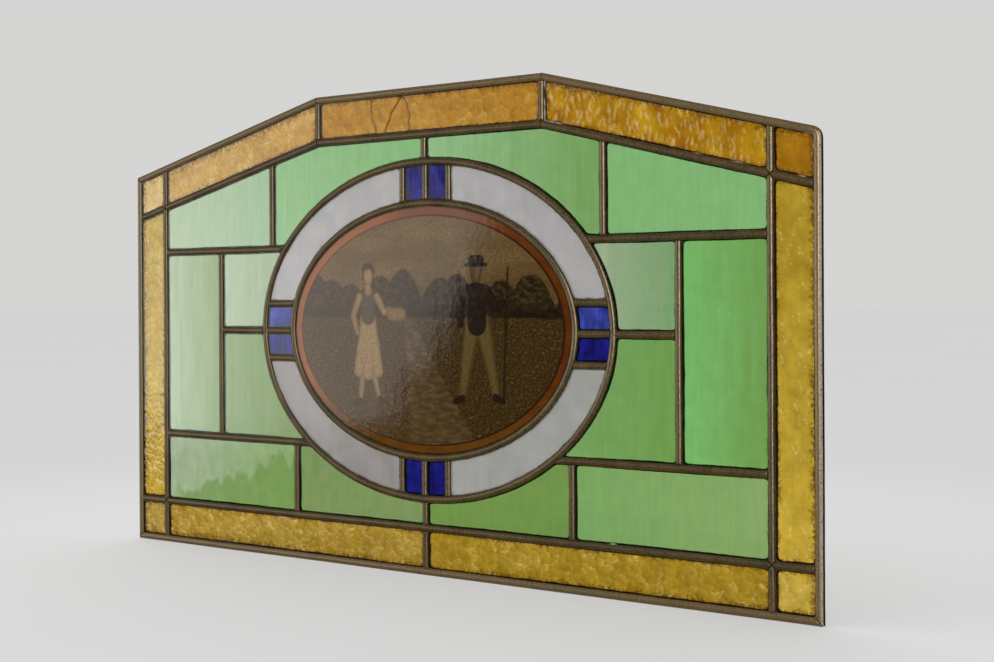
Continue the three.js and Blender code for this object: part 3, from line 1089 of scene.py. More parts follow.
# Painted highlight: the glass is made lighter on the ring round each seed, for the light that the bubble
# catches.
brightness = maths(glass_group, "ADD", 1.0, lighter)
brightness = maths(glass_group, "ADD", brightness, maths(glass_group, "MULTIPLY", seed_mask, 0.35))
colour = vector_maths(glass_group, "SCALE", given["Tint"])
scaled = glass_group.nodes[-1]
glass_group.links.new(brightness, scaled.inputs["Scale"])
# Painted shade: a ragged darker rim beside the cement, for the came's shadow and its dark flange seen through
# the glass.
uneven = maths(glass_group, "ADD", given["Edge"], step(glass_group, cloud, 0.2, 0.8, -0.9, 0.9))
near_rim = maths(glass_group, "DIVIDE", uneven, given["Rim Width"])
near_rim = maths(glass_group, "ADD", near_rim, step(glass_group, fine, 0.32, 0.68, -0.35, 0.35))
nibble = step(glass_group, texture(glass_group, spot, 330.0, 2, 0.6), 0.36, 0.60, -1.1, 0.6)
near_rim = maths(glass_group, "ADD", near_rim, maths(glass_group, "MULTIPLY", nibble, given["Ragged"]))
rim_shade_share = step(glass_group, near_rim, 1.0, -0.4, 0, 0.9)
glass_group.links.new(mix_colour(glass_group, rim_shade_share, scaled.outputs[0], given["Rim"]), made["Color"])
glass_group.links.new(step(glass_group, cloud, 0.3, 0.7, 0.05, 0.13), made["Roughness"])
bumps = maths(glass_group, "ADD", maths(glass_group, "MULTIPLY", drawn, 0.6),
              maths(glass_group, "MULTIPLY", fine, 0.2))
glass_group.links.new(maths(glass_group, "ADD", bumps, seed_mask), made["Height"])


def glass(name, streak, mottling, seeds, rim, rim_width, transmission=1.0, ragged=0.0):
    """A glass material and its tree, shader and colour. Only the transmission differs in its plain values."""
    made_material, tree, shader = material(name)
    look = use(tree, glass_group, Tint=attribute(tree, "tint", "Color"), Edge=attribute(tree, "edge"),
               Streak=streak, Mottle=mottling, Seeds=seeds, Rim=(*rim, 1), Rim_Width=rim_width,
               Ragged=ragged)
    shader.inputs["Transmission Weight"].default_value = transmission
    shader.inputs["Metallic"].default_value = 0.0
    shader.inputs["IOR"].default_value = 1.5
    tree.links.new(look["Roughness"], shader.inputs["Roughness"])
    tree.links.new(bump(tree, look["Height"], 0.3, 0.0003), shader.inputs["Normal"])
    return made_material, tree, shader, look["Color"]


# The rim colours below are the colours of the painted shade beside the cement.
AMBER_RIM_SHADE = (0.15, 0.055, 0.006)
GREEN_RIM_SHADE = (0.07, 0.16, 0.03)
amber, tree, shader, colour = glass("amber_glass", 0.06, 0.12, 0.0, AMBER_RIM_SHADE, 2.4, ragged=0.8)
tree.links.new(colour, shader.inputs["Base Color"])

cracked_amber, tree, shader, colour = glass("cracked_amber_glass", 0.05, 0.10, 0.0, AMBER_RIM_SHADE, 2.4,
                                            ragged=0.5)
crack_share = step(tree, attribute(tree, "crack"), 0.05, 0.6, 0, 0.9)
tree.links.new(mix_colour(tree, crack_share, colour, (0.055, 0.013, 0.018, 1)), shader.inputs["Base Color"])

green, tree, shader, colour = glass("green_glass", 0.05, 0.03, 0.0, GREEN_RIM_SHADE, 1.6)
tree.links.new(colour, shader.inputs["Base Color"])
seedy_green, tree, shader, colour = glass("seedy_green_glass", 0.04, 0.04, 1.0, GREEN_RIM_SHADE, 1.6)
tree.links.new(colour, shader.inputs["Base Color"])
blue, tree, shader, colour = glass("blue_glass", 0.35, 0.3, 0.0, (0.002, 0.002, 0.03), 1.4)
tree.links.new(colour, shader.inputs["Base Color"])
opal, tree, shader, colour = glass("opal_glass", 0.02, 0.04, 0.0, (0.20, 0.17, 0.15), 1.2, transmission=0.45)
tree.links.new(colour, shader.inputs["Base Color"])

# %% [markdown]
# ## The kinds of glass
# The amber border was cut from several sheets: a hammered one with leaf-like facets, one struck with
# short strokes, and a smoother one with soft waves. Their tints carry painted light: facets are painted
# lighter on the side towards a fixed light and darker on edges turned away, and some lit edges and
# the strokes are painted as bright glints with a painted shaded side. The green is drawn glass with
# faint upright streaks, deeper in the lower panes. One green pane holds a painted reflection: it is
# painted deeper below a rising, ragged line, so that the part above looks veiled by a reflection. The
# white and blue are almost flat. Each function below gives the relief of both faces in millimetres and
# the tint at each point. The tints are a small set of named shades, and several panes share a shade.

# %% Kinds of glass
def blend(share, a, b):
    share = np.clip(share, 0, 1)[:, None]
    return np.array(a) * (1 - share) + np.array(b) * share


def cells(x, z, wide, tall, seed):
    """Scattered cells. Gives the distances to the two nearest middles, in cells, the place within the
    nearest cell, and that cell's own number from -1 to 1."""
    u, v = x / wide, z / tall
    iu, iv = np.floor(u).astype(np.int64), np.floor(v).astype(np.int64)
    first, second = np.full(x.shape, 9.0), np.full(x.shape, 9.0)
    within_u, within_v, own = np.zeros(x.shape), np.zeros(x.shape), np.zeros(x.shape)
    for a in (-1, 0, 1):
        for b in (-1, 0, 1):
            du = u - (iu + a + 0.5 + lattice(iu + a, iv + b, seed) * 0.45)
            dv = v - (iv + b + 0.5 + lattice(iu + a, iv + b, seed + 1) * 0.45)
            gap = np.hypot(du, dv)
            closer = gap < first
            second = np.where(closer, first, np.minimum(second, gap))
            within_u, within_v = np.where(closer, du, within_u), np.where(closer, dv, within_v)
            own = np.where(closer, lattice(iu + a, iv + b, seed + 2), own)
            first = np.where(closer, gap, first)
    return first, second, within_u, within_v, own


def facets(x, z, wide, tall, seed, glint_share=0.5, light_from=(0.8, 0.5)):
    """Relief and brightness of pressed glass: every cell is a shallow facet with its own tilt and tone.
    The brightness also holds painted light: each facet is painted lighter on the side towards a fixed
    light and darker at edges turned away, and edges towards the light carry painted glints."""
    bend_x = noise(x / wide / 1.3, z / tall / 1.3, seed + 7) * wide * 0.55
    bend_z = noise(x / wide / 1.3, z / tall / 1.3, seed + 8) * tall * 0.4
    first, second, du, dv, own = cells(x + bend_x, z + bend_z, wide, tall, seed)
    edge = 1 - smooth((second - first) / 0.32)
    towards_light = du * light_from[0] + dv * light_from[1]
    lit_edge = edge * smooth(towards_light / 0.3) * smooth((own + 1 - 2 * (1 - glint_share)) / 0.3)
    shaded_edge = edge * smooth(-towards_light / 0.3)
    dome = np.clip(second - first, 0, 0.8)
    brightness = own * 0.22 + towards_light * 0.55 - shaded_edge * 0.35
    return dome * 0.55 + own * 0.25, brightness, lit_edge


HAMMERED = 0.24


def pressed(deep, pale, glint_colour, wide=6.5, tall=5.5, glint_share=0.5, seed=1, contrast=1.0):
    """Hammered glass: domed facets, each with its own tone and painted light, painted lit and dark edges, and
    finer ones.
    """
    def surface(x, z):
        relief, brightness, lit_edge = facets(x, z, wide, tall, seed, glint_share)
        finer = (wide * 0.55, tall * 0.55, seed + 20, glint_share * 0.6)
        fine, fine_tone_and_light, fine_lit_edge = facets(x, z, *finer)
        wash = rough_noise(x / 38, z / 26, seed + 3) * 0.28
        share = 0.5 + (brightness * 0.8 + fine_tone_and_light * 0.4) * contrast + wash
        tint = blend(share, deep, pale)
        # Painted highlight: the lit edges take the glint colour.
        glint = np.clip(lit_edge + fine_lit_edge * 0.6, 0, 1) * 0.8
        tint = tint + (np.array(glint_colour) - tint) * glint[:, None]
        return (relief + fine * 0.4) * HAMMERED, rough_noise(x / 14, z / 14, seed + 2) * 0.12, tint
    return surface


def strokes(x, z, wide, tall, seed, share):
    """One thin slanted stroke in some of the cells, from 0 to 1, and a shaded line beside it: the
    caller paints the stroke as a highlight and the line as shade.
    """
    _, _, du, dv, own = cells(x + noise(x / 9, z / 9, seed + 7) * 2, z, wide, tall, seed)
    off = (du * wide - dv * tall * (0.12 + own * 0.3)) / 0.85
    ends = smooth((0.42 - np.abs(dv)) / 0.2) * smooth((share * 2 - 1 - own) / 0.2)
    return smooth(1.3 - np.abs(off)) * ends, smooth(1.3 - np.abs(off - 1.9)) * ends


def struck(deep, pale, glint_colour, seed, amount=0.16):
    """Rippled glass: a soft orange sheet with many short ripples, painted as bright highlight strokes with
    a painted shaded side, fewer towards the right.
    """
    def surface(x, z):
        along = (x - x.min()) / (x.max() - x.min())
        stroke, shaded = strokes(x, z, 5.2, 10.0, seed, 0.92 - along * 0.35)
        short, short_shaded = strokes(x, z, 3.7, 6.0, seed + 10, 0.62 - along * 0.25)
        wash = rough_noise(x / 17, z / 15, seed + 3)
        tint = blend(0.55 + wash * 0.75 - shaded * 0.30 - short_shaded * 0.2, deep, pale)
        glint = np.clip(stroke + short * 0.6, 0, 1) * (0.80 - along * 0.25)
        tint = tint + (np.array(glint_colour) - tint) * glint[:, None]
        return (wash * 0.5 + stroke + short * 0.5) * amount, wash * 0.1, tint
    return surface


def wavy(deep, pale, glint_colour, size=13, amount=0.13, seed=21, glint_share=0.12, sink=0.0):
    """Rolled glass with soft waves, painted lighter and darker by the facets' painted light, and with
    painted glints on lit edges. Sink is how much deeper the tint is at the top than at the bottom.
    """
    def surface(x, z):
        wave = rough_noise(x / size, z / size / 1.4, seed)
        relief, brightness, lit_edge = facets(x, z, 3.8, 8.5, seed + 30, glint_share)
        faint, faint_tone_and_light, _ = facets(x, z, 7.0, 9.0, seed + 50)
        height = (z - z.min()) / (z.max() - z.min())
        tint = blend(0.5 + wave * 0.33 + faint_tone_and_light * 0.30 - (height - 0.5) * sink, deep, pale)
        tint = tint + (np.array(glint_colour) - tint) * lit_edge[:, None] * 0.7
        back = rough_noise(x / 16, z / 20, seed + 2) * 0.1
        return wave * amount + (relief * 0.3 + faint * 0.4) * amount + lit_edge * 0.05, back, tint
    return surface


def drawn_sheet(left, right, amount=0.05, seed=31, wave=9.0):
    def surface(x, z):
        streak = noise(x / wave, z / 70, seed) * 0.6 + noise(x / (wave / 3), z / 40, seed + 1) * 0.4
        relief = streak * amount + noise(x / 40, z / 60, seed + 2) * amount
        share = (x - x.min()) / (x.max() - x.min()) + streak * 0.22
        return relief, -relief * 0.5, blend(share, left, right)
    return surface


def drawn_with_painted_veil(left, right, deep, seed):
    """A drawn sheet whose lower right part is deeper, up to a rising, ragged line: a painted reflection,
    for the edge of a veil of reflected light over the rest.
    """
    sheet = drawn_sheet(left, right, seed=seed)

    def surface(x, z):
        relief, back, tint = sheet(x, z)
        along = (x - x.min()) / (x.max() - x.min())
        height = (z - z.min()) / (z.max() - z.min())
        ragged = noise(x / 11, x * 0, seed + 3) * 0.15 + noise(x / 3, z / 9, seed + 4) * 0.06
        under = smooth((0.08 + along * 0.78 + ragged - height) / 0.07) * smooth(along / 0.15)
        return relief, back, tint + (np.array(deep) - tint) * under[:, None] * 0.75
    return surface


def swirled(deep, pale, size=12, amount=0.05, seed=51):
    def surface(x, z):
        bend = noise(x / size, z / size, seed) * size * 0.6
        streak = rough_noise((x + bend) / size * 1.4, (z - bend) / size * 0.7, seed + 1)
        return streak * amount, streak * 0, blend(0.5 + streak * 0.7, deep, pale)
    return surface


# Colours of painted glints first; then the ambers and the greens, as the share of red, green and blue light
# let through.
GOLD_GLINT = (0.96, 0.70, 0.22)
PALE_GLINT = (0.98, 0.80, 0.40)
TANGERINE = (0.54, 0.23, 0.01)
APRICOT = (0.80, 0.44, 0.06)
BURNT = (0.43, 0.17, 0.003)
HONEY = (0.45, 0.27, 0.01)
SYRUP = (0.70, 0.46, 0.05)
WAX = (0.72, 0.48, 0.10)
GOLD = (0.64, 0.39, 0.005)
LEMON = (0.92, 0.66, 0.12)
STRAW = (0.94, 0.60, 0.17)
MINT = (0.64, 0.82, 0.54)
SPRING = (0.52, 0.77, 0.48)
APPLE = (0.42, 0.75, 0.35)
LEAF = (0.34, 0.71, 0.27)
SAGE = (0.52, 0.65, 0.42)
MEADOW = (0.40, 0.58, 0.27)
MOSS = (0.35, 0.56, 0.19)
PINE = (0.28, 0.53, 0.22)
GRASS = (0.28, 0.55, 0.17)
BOTTLE = (0.24, 0.51, 0.12)
OLIVE = (0.29, 0.43, 0.15)
DARK_OLIVE = (0.24, 0.43, 0.10)

looks = {
    "border_pane_top_middle": pressed(TANGERINE, APRICOT, (0.90, 0.62, 0.20), 9.0, 8.0, 0.2, 61, 0.75),
    "border_pane_slope_left": pressed((0.70, 0.37, 0.05), STRAW, PALE_GLINT, 5.5, 7.0, 0.35, 71),
    "border_pane_slope_right": struck((0.45, 0.17, 0.002), (0.75, 0.43, 0.014), (0.98, 0.74, 0.29), 81),
    "border_pane_corner_top_left": pressed((0.98, 0.56, 0.14), (0.98, 0.78, 0.31), PALE_GLINT,
                                           glint_share=0.2, seed=91),
    "border_pane_corner_top_right": wavy(BURNT, (0.62, 0.31, 0.013), (0.8, 0.5, 0.1), 12, seed=101),
    "border_pane_side_left": pressed(GOLD, LEMON, PALE_GLINT, 5.0, 6.5, 0.35, 111),
    "border_pane_side_right": wavy((0.55, 0.36, 0.02), (0.81, 0.56, 0.06), (0.98, 0.80, 0.36), 12,
                                   seed=121, glint_share=0.30, sink=0.7),
    "border_pane_corner_bottom_left": pressed((0.41, 0.28, 0.04), WAX, GOLD_GLINT, glint_share=0.35, seed=131),
    "border_pane_corner_bottom_right": pressed(GOLD, LEMON, PALE_GLINT, 5.5, 9.0, 0.3, 141, 0.6),
    "border_pane_bottom_left": pressed(HONEY, WAX, GOLD_GLINT, 7.0, 5.0, 0.45, 151),
    "border_pane_bottom_right": pressed(HONEY, SYRUP, GOLD_GLINT, 7.5, 6.0, 0.35, 161),
    "green_pane_upper_outer_left": drawn_sheet(MINT, SPRING, seed=171),
    "green_pane_upper_inner_left": drawn_sheet(APPLE, LEAF, amount=0.07, seed=181),
    "green_pane_upper_inner_right": drawn_sheet(APPLE, GRASS, amount=0.07, seed=191),
    "green_pane_upper_outer_right": drawn_sheet(LEAF, LEAF, seed=201),
    "green_pane_column_left": drawn_sheet(MINT, MEADOW, seed=211),
    "green_pane_column_right": drawn_sheet((0.29, 0.74, 0.22), BOTTLE, seed=221),
    "green_pane_side_upper_left": drawn_sheet(MINT, SAGE, seed=231),
    "green_pane_side_upper_right": drawn_sheet(SAGE, PINE, seed=241),
    "green_pane_side_lower_left": drawn_sheet(MEADOW, OLIVE, seed=251),
    "green_pane_side_lower_right": drawn_sheet(GRASS, BOTTLE, seed=261),
    "green_pane_lower_outer_left": drawn_with_painted_veil(SAGE, MOSS, DARK_OLIVE, seed=271),
    "green_pane_lower_inner_left": drawn_sheet(OLIVE, OLIVE, seed=281),
    "green_pane_lower_inner_right": drawn_sheet(DARK_OLIVE, DARK_OLIVE, seed=291),
    "green_pane_lower_outer_right": drawn_sheet(GRASS, MOSS, seed=301),
}
WHITES = {"top_left": (0.59, 0.58, 0.58), "top_right": (0.59, 0.58, 0.58),
          "bottom_left": (0.45, 0.42, 0.40), "bottom_right": (0.52, 0.52, 0.49)}
for word, white in WHITES.items():
    paler = [level + 0.09 for level in white]
    looks["opal_arc_" + word] = swirled(white, paler, size=30, amount=0.04)
BLUE_DEEP = swirled((0.006, 0.006, 0.14), (0.017, 0.017, 0.31))
MILKY_BLOCKS = ("blue_block_right_upper", "blue_block_left_upper")
BLUE_MILKY = swirled((0.02, 0.03, 0.30), (0.07, 0.10, 0.52), seed=57)
for name in pane_names:
    if name.startswith("blue"):
        looks[name] = BLUE_MILKY if name in MILKY_BLOCKS else BLUE_DEEP

# %% [markdown]
# ## Cracks
# Three cracks run down the middle pane of the top border. They are old breaks that hold together, so
# the pane stays one piece: each is a narrow groove, darkened by dirt. The net of points gets a fine
# row along each crack and one on both sides of it, so that the groove is real.

# %% Cracks
CRACKS = [
    [(-66, 457), (-64, 448), (-63, 438), (-60, 428), (-59, 419)],
    [(-27, 457), (-34, 447), (-41, 437), (-45, 428), (-48, 419)],
    [(-26, 457), (-21, 447), (-18, 437), (-17, 428), (-16, 419)],
]
CRACK_HALF_WIDTH = 0.8
crack_lines = [evenly(np.array(c, float), 40) for c in CRACKS]
for number, crack in enumerate(crack_lines):
    crack[:, 0] += noise(crack[:, 1] / 5, crack[:, 1] * 0, 401 + number) * 1.1
crack_rows = np.concatenate([crack + (offset, 0) for crack in crack_lines for offset in (-0.8, 0, 0.8)])
pane_low, pane_high = plan_box("border_pane_top_middle")[2:]
crack_rows = crack_rows[(crack_rows[:, 1] > pane_low + 1) & (crack_rows[:, 1] < pane_high - 1)]
crack_middles = np.concatenate([evenly(crack, 600) for crack in crack_lines])


def crack_depth(x, z):
    return np.clip(1 - nearest(np.stack([x, z], axis=1), crack_middles) / CRACK_HALF_WIDTH, 0, 1)


# %% Panes
slots = {"border": "amber_glass", "green": "green_glass", "opal": "opal_glass", "blue": "blue_glass"}
materials = {"border": amber, "green": green, "opal": opal, "blue": blue}
spacings = {"border": 1.35, "green": 2.6, "opal": 3.0, "blue": 1.8}
RIPPLE_SPACING = 0.95
for name in pane_names:
    kind = name.split("_")[0]
    if kind == "painted":
        continue
    look = {"spacing": spacings[kind], "surface": looks[name], "material": materials[kind]}
    if name in ("green_pane_column_right", "green_pane_side_upper_right"):
        look["material"] = seedy_green
    if name == "border_pane_slope_right":
        look["spacing"] = RIPPLE_SPACING
    if name == "border_pane_top_middle":
        look["material"] = cracked_amber
        pane = cut_pane(name, look, crack_rows, crack_depth)
    else:
        pane = cut_pane(name, look)
    place(pane, slots[kind], name)
of_glass = [count for name, count in triangle_count.items() if name.removesuffix("_made") in pane_names]
print("glass triangles", sum(of_glass))

# %% [markdown]
# ## The painted roundel
# The oval in the middle is one pane, painted in brown enamel and fired, with a rim of amber stain. The
# picture is a plain country scene of this lesson's own: two people without features walk on a path
# between fields, with a dark line of trees behind them. Every limb, hat and basket is one soft capsule
# from point A to point B. The capsules of one colour are joined by the least of their distances, and
# painted as one layer. Positions are in millimetres from the middle of the oval.

# %% Limb group
limb_group, given, made = group(
    "limb",
    [("Position", "Vector", None), ("A", "Vector", None), ("B", "Vector", None), ("Radius A", "Float", 5.0),
     ("Radius B", "Float", 5.0)],
    [("Distance", "Float")],
)
along = vector_maths(limb_group, "SUBTRACT", given["B"], given["A"])
reach = vector_maths(limb_group, "SUBTRACT", given["Position"], given["A"])
share = maths(limb_group, "DIVIDE", vector_maths(limb_group, "DOT_PRODUCT", reach, along),
              vector_maths(limb_group, "DOT_PRODUCT", along, along), clamp=True)
middle = add(limb_group, "ShaderNodeMix", {"data_type": "VECTOR"}, i0=share, i4=given["A"],
             i5=given["B"]).outputs[1]
radius = mix_value(limb_group, share, given["Radius A"], given["Radius B"])
away = vector_maths(limb_group, "LENGTH", vector_maths(limb_group, "SUBTRACT", given["Position"], middle))
limb_group.links.new(maths(limb_group, "SUBTRACT", away, radius), made["Distance"])

# %% Figures
SKIN = (0.32, 0.215, 0.120)
SKIN_SHADE = (0.135, 0.075, 0.034)
LINEN = (0.34, 0.245, 0.135)
CLOTH_GREY = (0.085, 0.062, 0.042)
CLOTH_DARK = (0.026, 0.013, 0.007)
COAT_OLIVE = (0.150, 0.102, 0.034)
LEATHER = (0.034, 0.017, 0.008)
STRAW_HAT = (0.24, 0.15, 0.05)

WOMAN = [
    (SKIN, [((-77, -42), (-80, -67), 4.0, 2.9), ((-63, -42), (-57, -64), 4.0, 2.9)]),
    (LEATHER, [((-81, -69), (-87, -71), 3.0, 2.5), ((-56, -67), (-50, -69), 3.0, 2.5),
               ((-70, 57), (-70, 52), 8.1, 7.6)]),
    (LINEN, [((-72, 12), (-82, -40), 7.4, 6.7), ((-68, 12), (-58, -40), 7.4, 6.7),
             ((-70, 10), (-70, -42), 7.4, 7.4)]),
    (CLOTH_GREY, [((-78, 33), (-62, 33), 4.9, 4.9), ((-70, 31), (-70, 13), 11.0, 8.3)]),
    (SKIN, [((-70, 53), (-70, 48), 6.5, 5.4), ((-70, 43), (-70, 37), 3.8, 4.5),
            ((-81, 32), (-89, 14), 4.3, 3.6), ((-89, 14), (-84, -3), 3.6, 2.7),
            ((-59, 32), (-50, 17), 4.3, 3.6), ((-50, 17), (-42, 20), 3.6, 2.8)]),
    (STRAW_HAT, [((-40, 15), (-29, 15), 6.9, 6.9)]),
]
MAN = [
    (COAT_OLIVE, [((56, 8), (50, -24), 9.4, 7.2), ((67, 8), (74, -22), 9.4, 7.2),
                  ((50, -24), (44, -60), 6.7, 4.9), ((74, -22), (82, -57), 6.7, 4.9)]),
    (SKIN_SHADE, [((60, 56), (60, 50), 7.4, 5.8), ((92, 26), (94, 28), 3.1, 2.9),
                  ((42, 4), (43, 1), 3.1, 2.9)]),
    (CLOTH_DARK, [((51, 37), (70, 37), 6.3, 6.3), ((60, 34), (61, 6), 11.4, 10.8),
                  ((49, 61), (71, 61), 2.0, 2.0), ((56, 65), (64, 65), 5.2, 5.2),
                  ((73, 36), (83, 21), 5.2, 4.5), ((83, 21), (91, 26), 4.1, 3.7),
                  ((48, 36), (42, 18), 5.2, 4.5), ((42, 18), (42, 6), 4.1, 3.6)]),
    (LEATHER, [((44, -63), (36, -66), 3.7, 2.9), ((82, -61), (90, -64), 3.7, 2.9),
               ((96, 58), (91, -66), 1.1, 1.1)]),
]

# %% Picture
PICTURE_RIM = 11.5
enamel, tree, shader = material("painted_glass")
centred = vector_maths(tree, "SUBTRACT", place_of(tree), (0, 0, oval_z * MM))
spot = vector_maths(tree, "MULTIPLY", centred, (1 / MM, 0, 1 / MM))
axes = add(tree, "ShaderNodeSeparateXYZ", Vector=spot)
across, up = axes.outputs[0], axes.outputs[2]


def paint_noise(scale_x, scale_z, detail=3, roughness=0.55, shift=0.0):
    """Noise with lumps of the given size in millimetres."""
    stretched = vector_maths(tree, "MULTIPLY_ADD", spot, (1 / scale_x, 1, 1 / scale_z), (shift, shift, 0))
    return texture(tree, stretched, 1.0, detail, roughness)


cloud = step(tree, paint_noise(80, 26, 3), 0.36, 0.66)
colour = mix_colour(tree, cloud, (0.165, 0.100, 0.036, 1), (0.235, 0.158, 0.062, 1))

crown = maths(tree, "MULTIPLY_ADD", paint_noise(60, 1000, 1, 0.5, 4.0), 44.0, 24.0)
tree_tops = add(tree, "ShaderNodeTexVoronoi", {"voronoi_dimensions": "1D"}, W=across,
                Scale=1 / 31.0).outputs["Distance"]
clump = maths(tree, "MULTIPLY_ADD", maths(tree, "POWER", tree_tops, 2.0), -44.0, 5.0)
clump = maths(tree, "ADD", clump, maths(tree, "MULTIPLY_ADD", paint_noise(5, 5, 2, 0.6), 5.0, -2.5))
tree_line = maths(tree, "SUBTRACT", up, maths(tree, "ADD", crown, clump))
leaves = mix_colour(tree, step(tree, paint_noise(7, 5, 4, 0.7), 0.42, 0.70),
                    (0.030, 0.017, 0.006, 1), (0.125, 0.082, 0.030, 1))
colour = mix_colour(tree, step(tree, tree_line, 1.5, -1.5), colour, leaves)
hedge = mix_colour(tree, step(tree, paint_noise(20, 6, 3), 0.4, 0.7),
                   (0.018, 0.009, 0.003, 1), (0.040, 0.022, 0.008, 1))
colour = mix_colour(tree, step(tree, up, 29, 15, 0, 0.85), colour, hedge)

ground_line = maths(tree, "MULTIPLY_ADD", paint_noise(40, 1000, 2, 0.5, 9.0), 10.0, 7.0)
under_line = maths(tree, "SUBTRACT", up, ground_line)
stubble = step(tree, paint_noise(2.6, 1.5, 3, 0.7), 0.40, 0.68)
field = mix_colour(tree, stubble, (0.040, 0.022, 0.005, 1), (0.165, 0.100, 0.024, 1))
furrows = step(tree, paint_noise(60, 3.2, 3), 0.42, 0.62, 0, 0.45)
field = mix_colour(tree, furrows, field, (0.070, 0.041, 0.010, 1))
stalks = step(tree, paint_noise(1.3, 3.4, 2, 0.6, 31.0), 0.60, 0.68, 0, 0.75)
field = mix_colour(tree, stalks, field, (0.360, 0.235, 0.070, 1))
colour = mix_colour(tree, step(tree, under_line, 1.0, -1.0), colour, field)

bend = maths(tree, "MULTIPLY_ADD", up, -0.35, -16.0)
from_path = maths(tree, "ABSOLUTE", maths(tree, "SUBTRACT", across, bend))
path_width = maths(tree, "MULTIPLY_ADD", up, -0.30, 7.0)
path_edge = maths(tree, "ADD", maths(tree, "SUBTRACT", from_path, path_width),
                  step(tree, paint_noise(5, 5), 0.3, 0.7, -3, 3))
path_colour = mix_colour(tree, step(tree, paint_noise(14, 4, 3), 0.4, 0.65),
                         (0.105, 0.066, 0.026, 1), (0.180, 0.120, 0.052, 1))
path_share = maths(tree, "MULTIPLY", step(tree, path_edge, 2.0, -2.0), step(tree, under_line, 0.0, -3.0))
colour = mix_colour(tree, path_share, colour, path_colour)

for paint, limbs in WOMAN + MAN:
    gap = 99.0
    for a, b, radius_a, radius_b in limbs:
        limb = use(tree, limb_group, Position=spot, A=(a[0], 0, a[1]), B=(b[0], 0, b[1]), Radius_A=radius_a,
                   Radius_B=radius_b)
        gap = maths(tree, "MINIMUM", limb["Distance"], gap)
    roundness = step(tree, gap, -4.0, 0.0, 1.2, 0.7)
    lit = add(tree, "ShaderNodeVectorMath", {"operation": "SCALE"}, i0=paint, Scale=roundness).outputs[0]
    colour = mix_colour(tree, step(tree, gap, 0.7, -0.9), colour, lit)
thin = vector_maths(tree, "MULTIPLY", colour, (0.93, 0.86, 0.69))
# The picture is lighter towards the left and at the top: partly paler paint, partly a painted reflection of
# the pale wall.
veil_and_pale_paint = maths(tree, "MAXIMUM", step(tree, across, 25, -60), step(tree, up, 72, 104, 0, 0.9))
wash = mix_colour(tree, veil_and_pale_paint, (0.0, 0.0, 0.0, 1), (0.046, 0.025, 0.010, 1))
colour = vector_maths(tree, "ADD", thin, wash)
stipple = step(tree, paint_noise(1.7, 1.7, 2, 0.7), 0.3, 0.7, 0.84, 1.16)
brush = step(tree, paint_noise(3.2, 2.4, 3, 0.6, 20.0), 0.3, 0.7, 0.82, 1.20)
strength = maths(tree, "MULTIPLY", stipple, brush)
colour = add(tree, "ShaderNodeVectorMath", {"operation": "SCALE"}, i0=colour, Scale=strength).outputs[0]

# %% Stained rim
rim_x = (INNER[0] - WEB_SIDE - PICTURE_RIM)
rim_z = (INNER[1] - WEB_SIDE - PICTURE_RIM)
rounded = vector_maths(tree, "LENGTH", vector_maths(tree, "DIVIDE", spot, (rim_x, 1, rim_z)))
outside = maths(tree, "MULTIPLY", maths(tree, "SUBTRACT", rounded, 1.0), (rim_x + rim_z) / 2)
stain = mix_colour(tree, step(tree, across, -60, 90), (0.46, 0.140, 0.030, 1), (0.155, 0.036, 0.002, 1))
upper = maths(tree, "MULTIPLY", step(tree, up, 70, 110), step(tree, across, -70, -10))
stain = mix_colour(tree, upper, stain, (0.26, 0.072, 0.012, 1))
stain = mix_colour(tree, step(tree, up, -45, -95), stain, (0.165, 0.062, 0.004, 1))
stain = mix_colour(tree, step(tree, paint_noise(22, 14, 3), 0.42, 0.66, 0, 0.3),
                   stain, (0.30, 0.090, 0.006, 1))
line = maths(tree, "DIVIDE", maths(tree, "ABSOLUTE", maths(tree, "SUBTRACT", outside, 0.4)),
             step(tree, across, -80, 120, 1.0, 2.4))
stain = mix_colour(tree, step(tree, line, 1.0, 0.4, 0, 0.92), stain, (0.045, 0.008, 0.002, 1))
colour = mix_colour(tree, step(tree, outside, -0.6, 0.6), colour, stain)
# Painted shade: the picture darkens towards the came, for the came's shadow and its dark flange seen through
# the glass.
painted_shade_rim = step(tree, attribute(tree, "edge"), 1.5, -0.3, 0, 0.9)
tree.links.new(mix_colour(tree, painted_shade_rim, colour, (0.03, 0.012, 0.004, 1)), shader.inputs["Base Color"])
tree.links.new(step(tree, paint_noise(6, 6), 0.3, 0.7, 0.04, 0.09), shader.inputs["Roughness"])
tree.links.new(bump(tree, paint_noise(9, 9, 2), 0.12, 0.0004), shader.inputs["Normal"])
shader.inputs["Transmission Weight"].default_value = 0.5
shader.inputs["Metallic"].default_value = 0.0
shader.inputs["IOR"].default_value = 1.5

plain = (0.3, 0.2, 0.1)
look = {"spacing": 3.0, "surface": drawn_sheet(plain, plain, amount=0.012), "material": enamel}
roundel = place(cut_pane("painted_roundel", look), "painted_glass", "painted_roundel")
print("roundel", triangle_count[roundel.name])

# %% [markdown]
# ## Floor, light and surroundings
# The panel stands on a pale floor in even light. Glass shows what is behind it and, more faintly, what
# is before it. So the surroundings are pale behind the panel and for everything that looks through
# it, and the room in front, which the glass and the lead reflect, is darker. One patch of that room
# is bright: a pale wall to the left, which lays a soft veil over a part of the glass, with a slanting
# edge. The lamps only add highlights, and the even light of the surroundings does the rest.

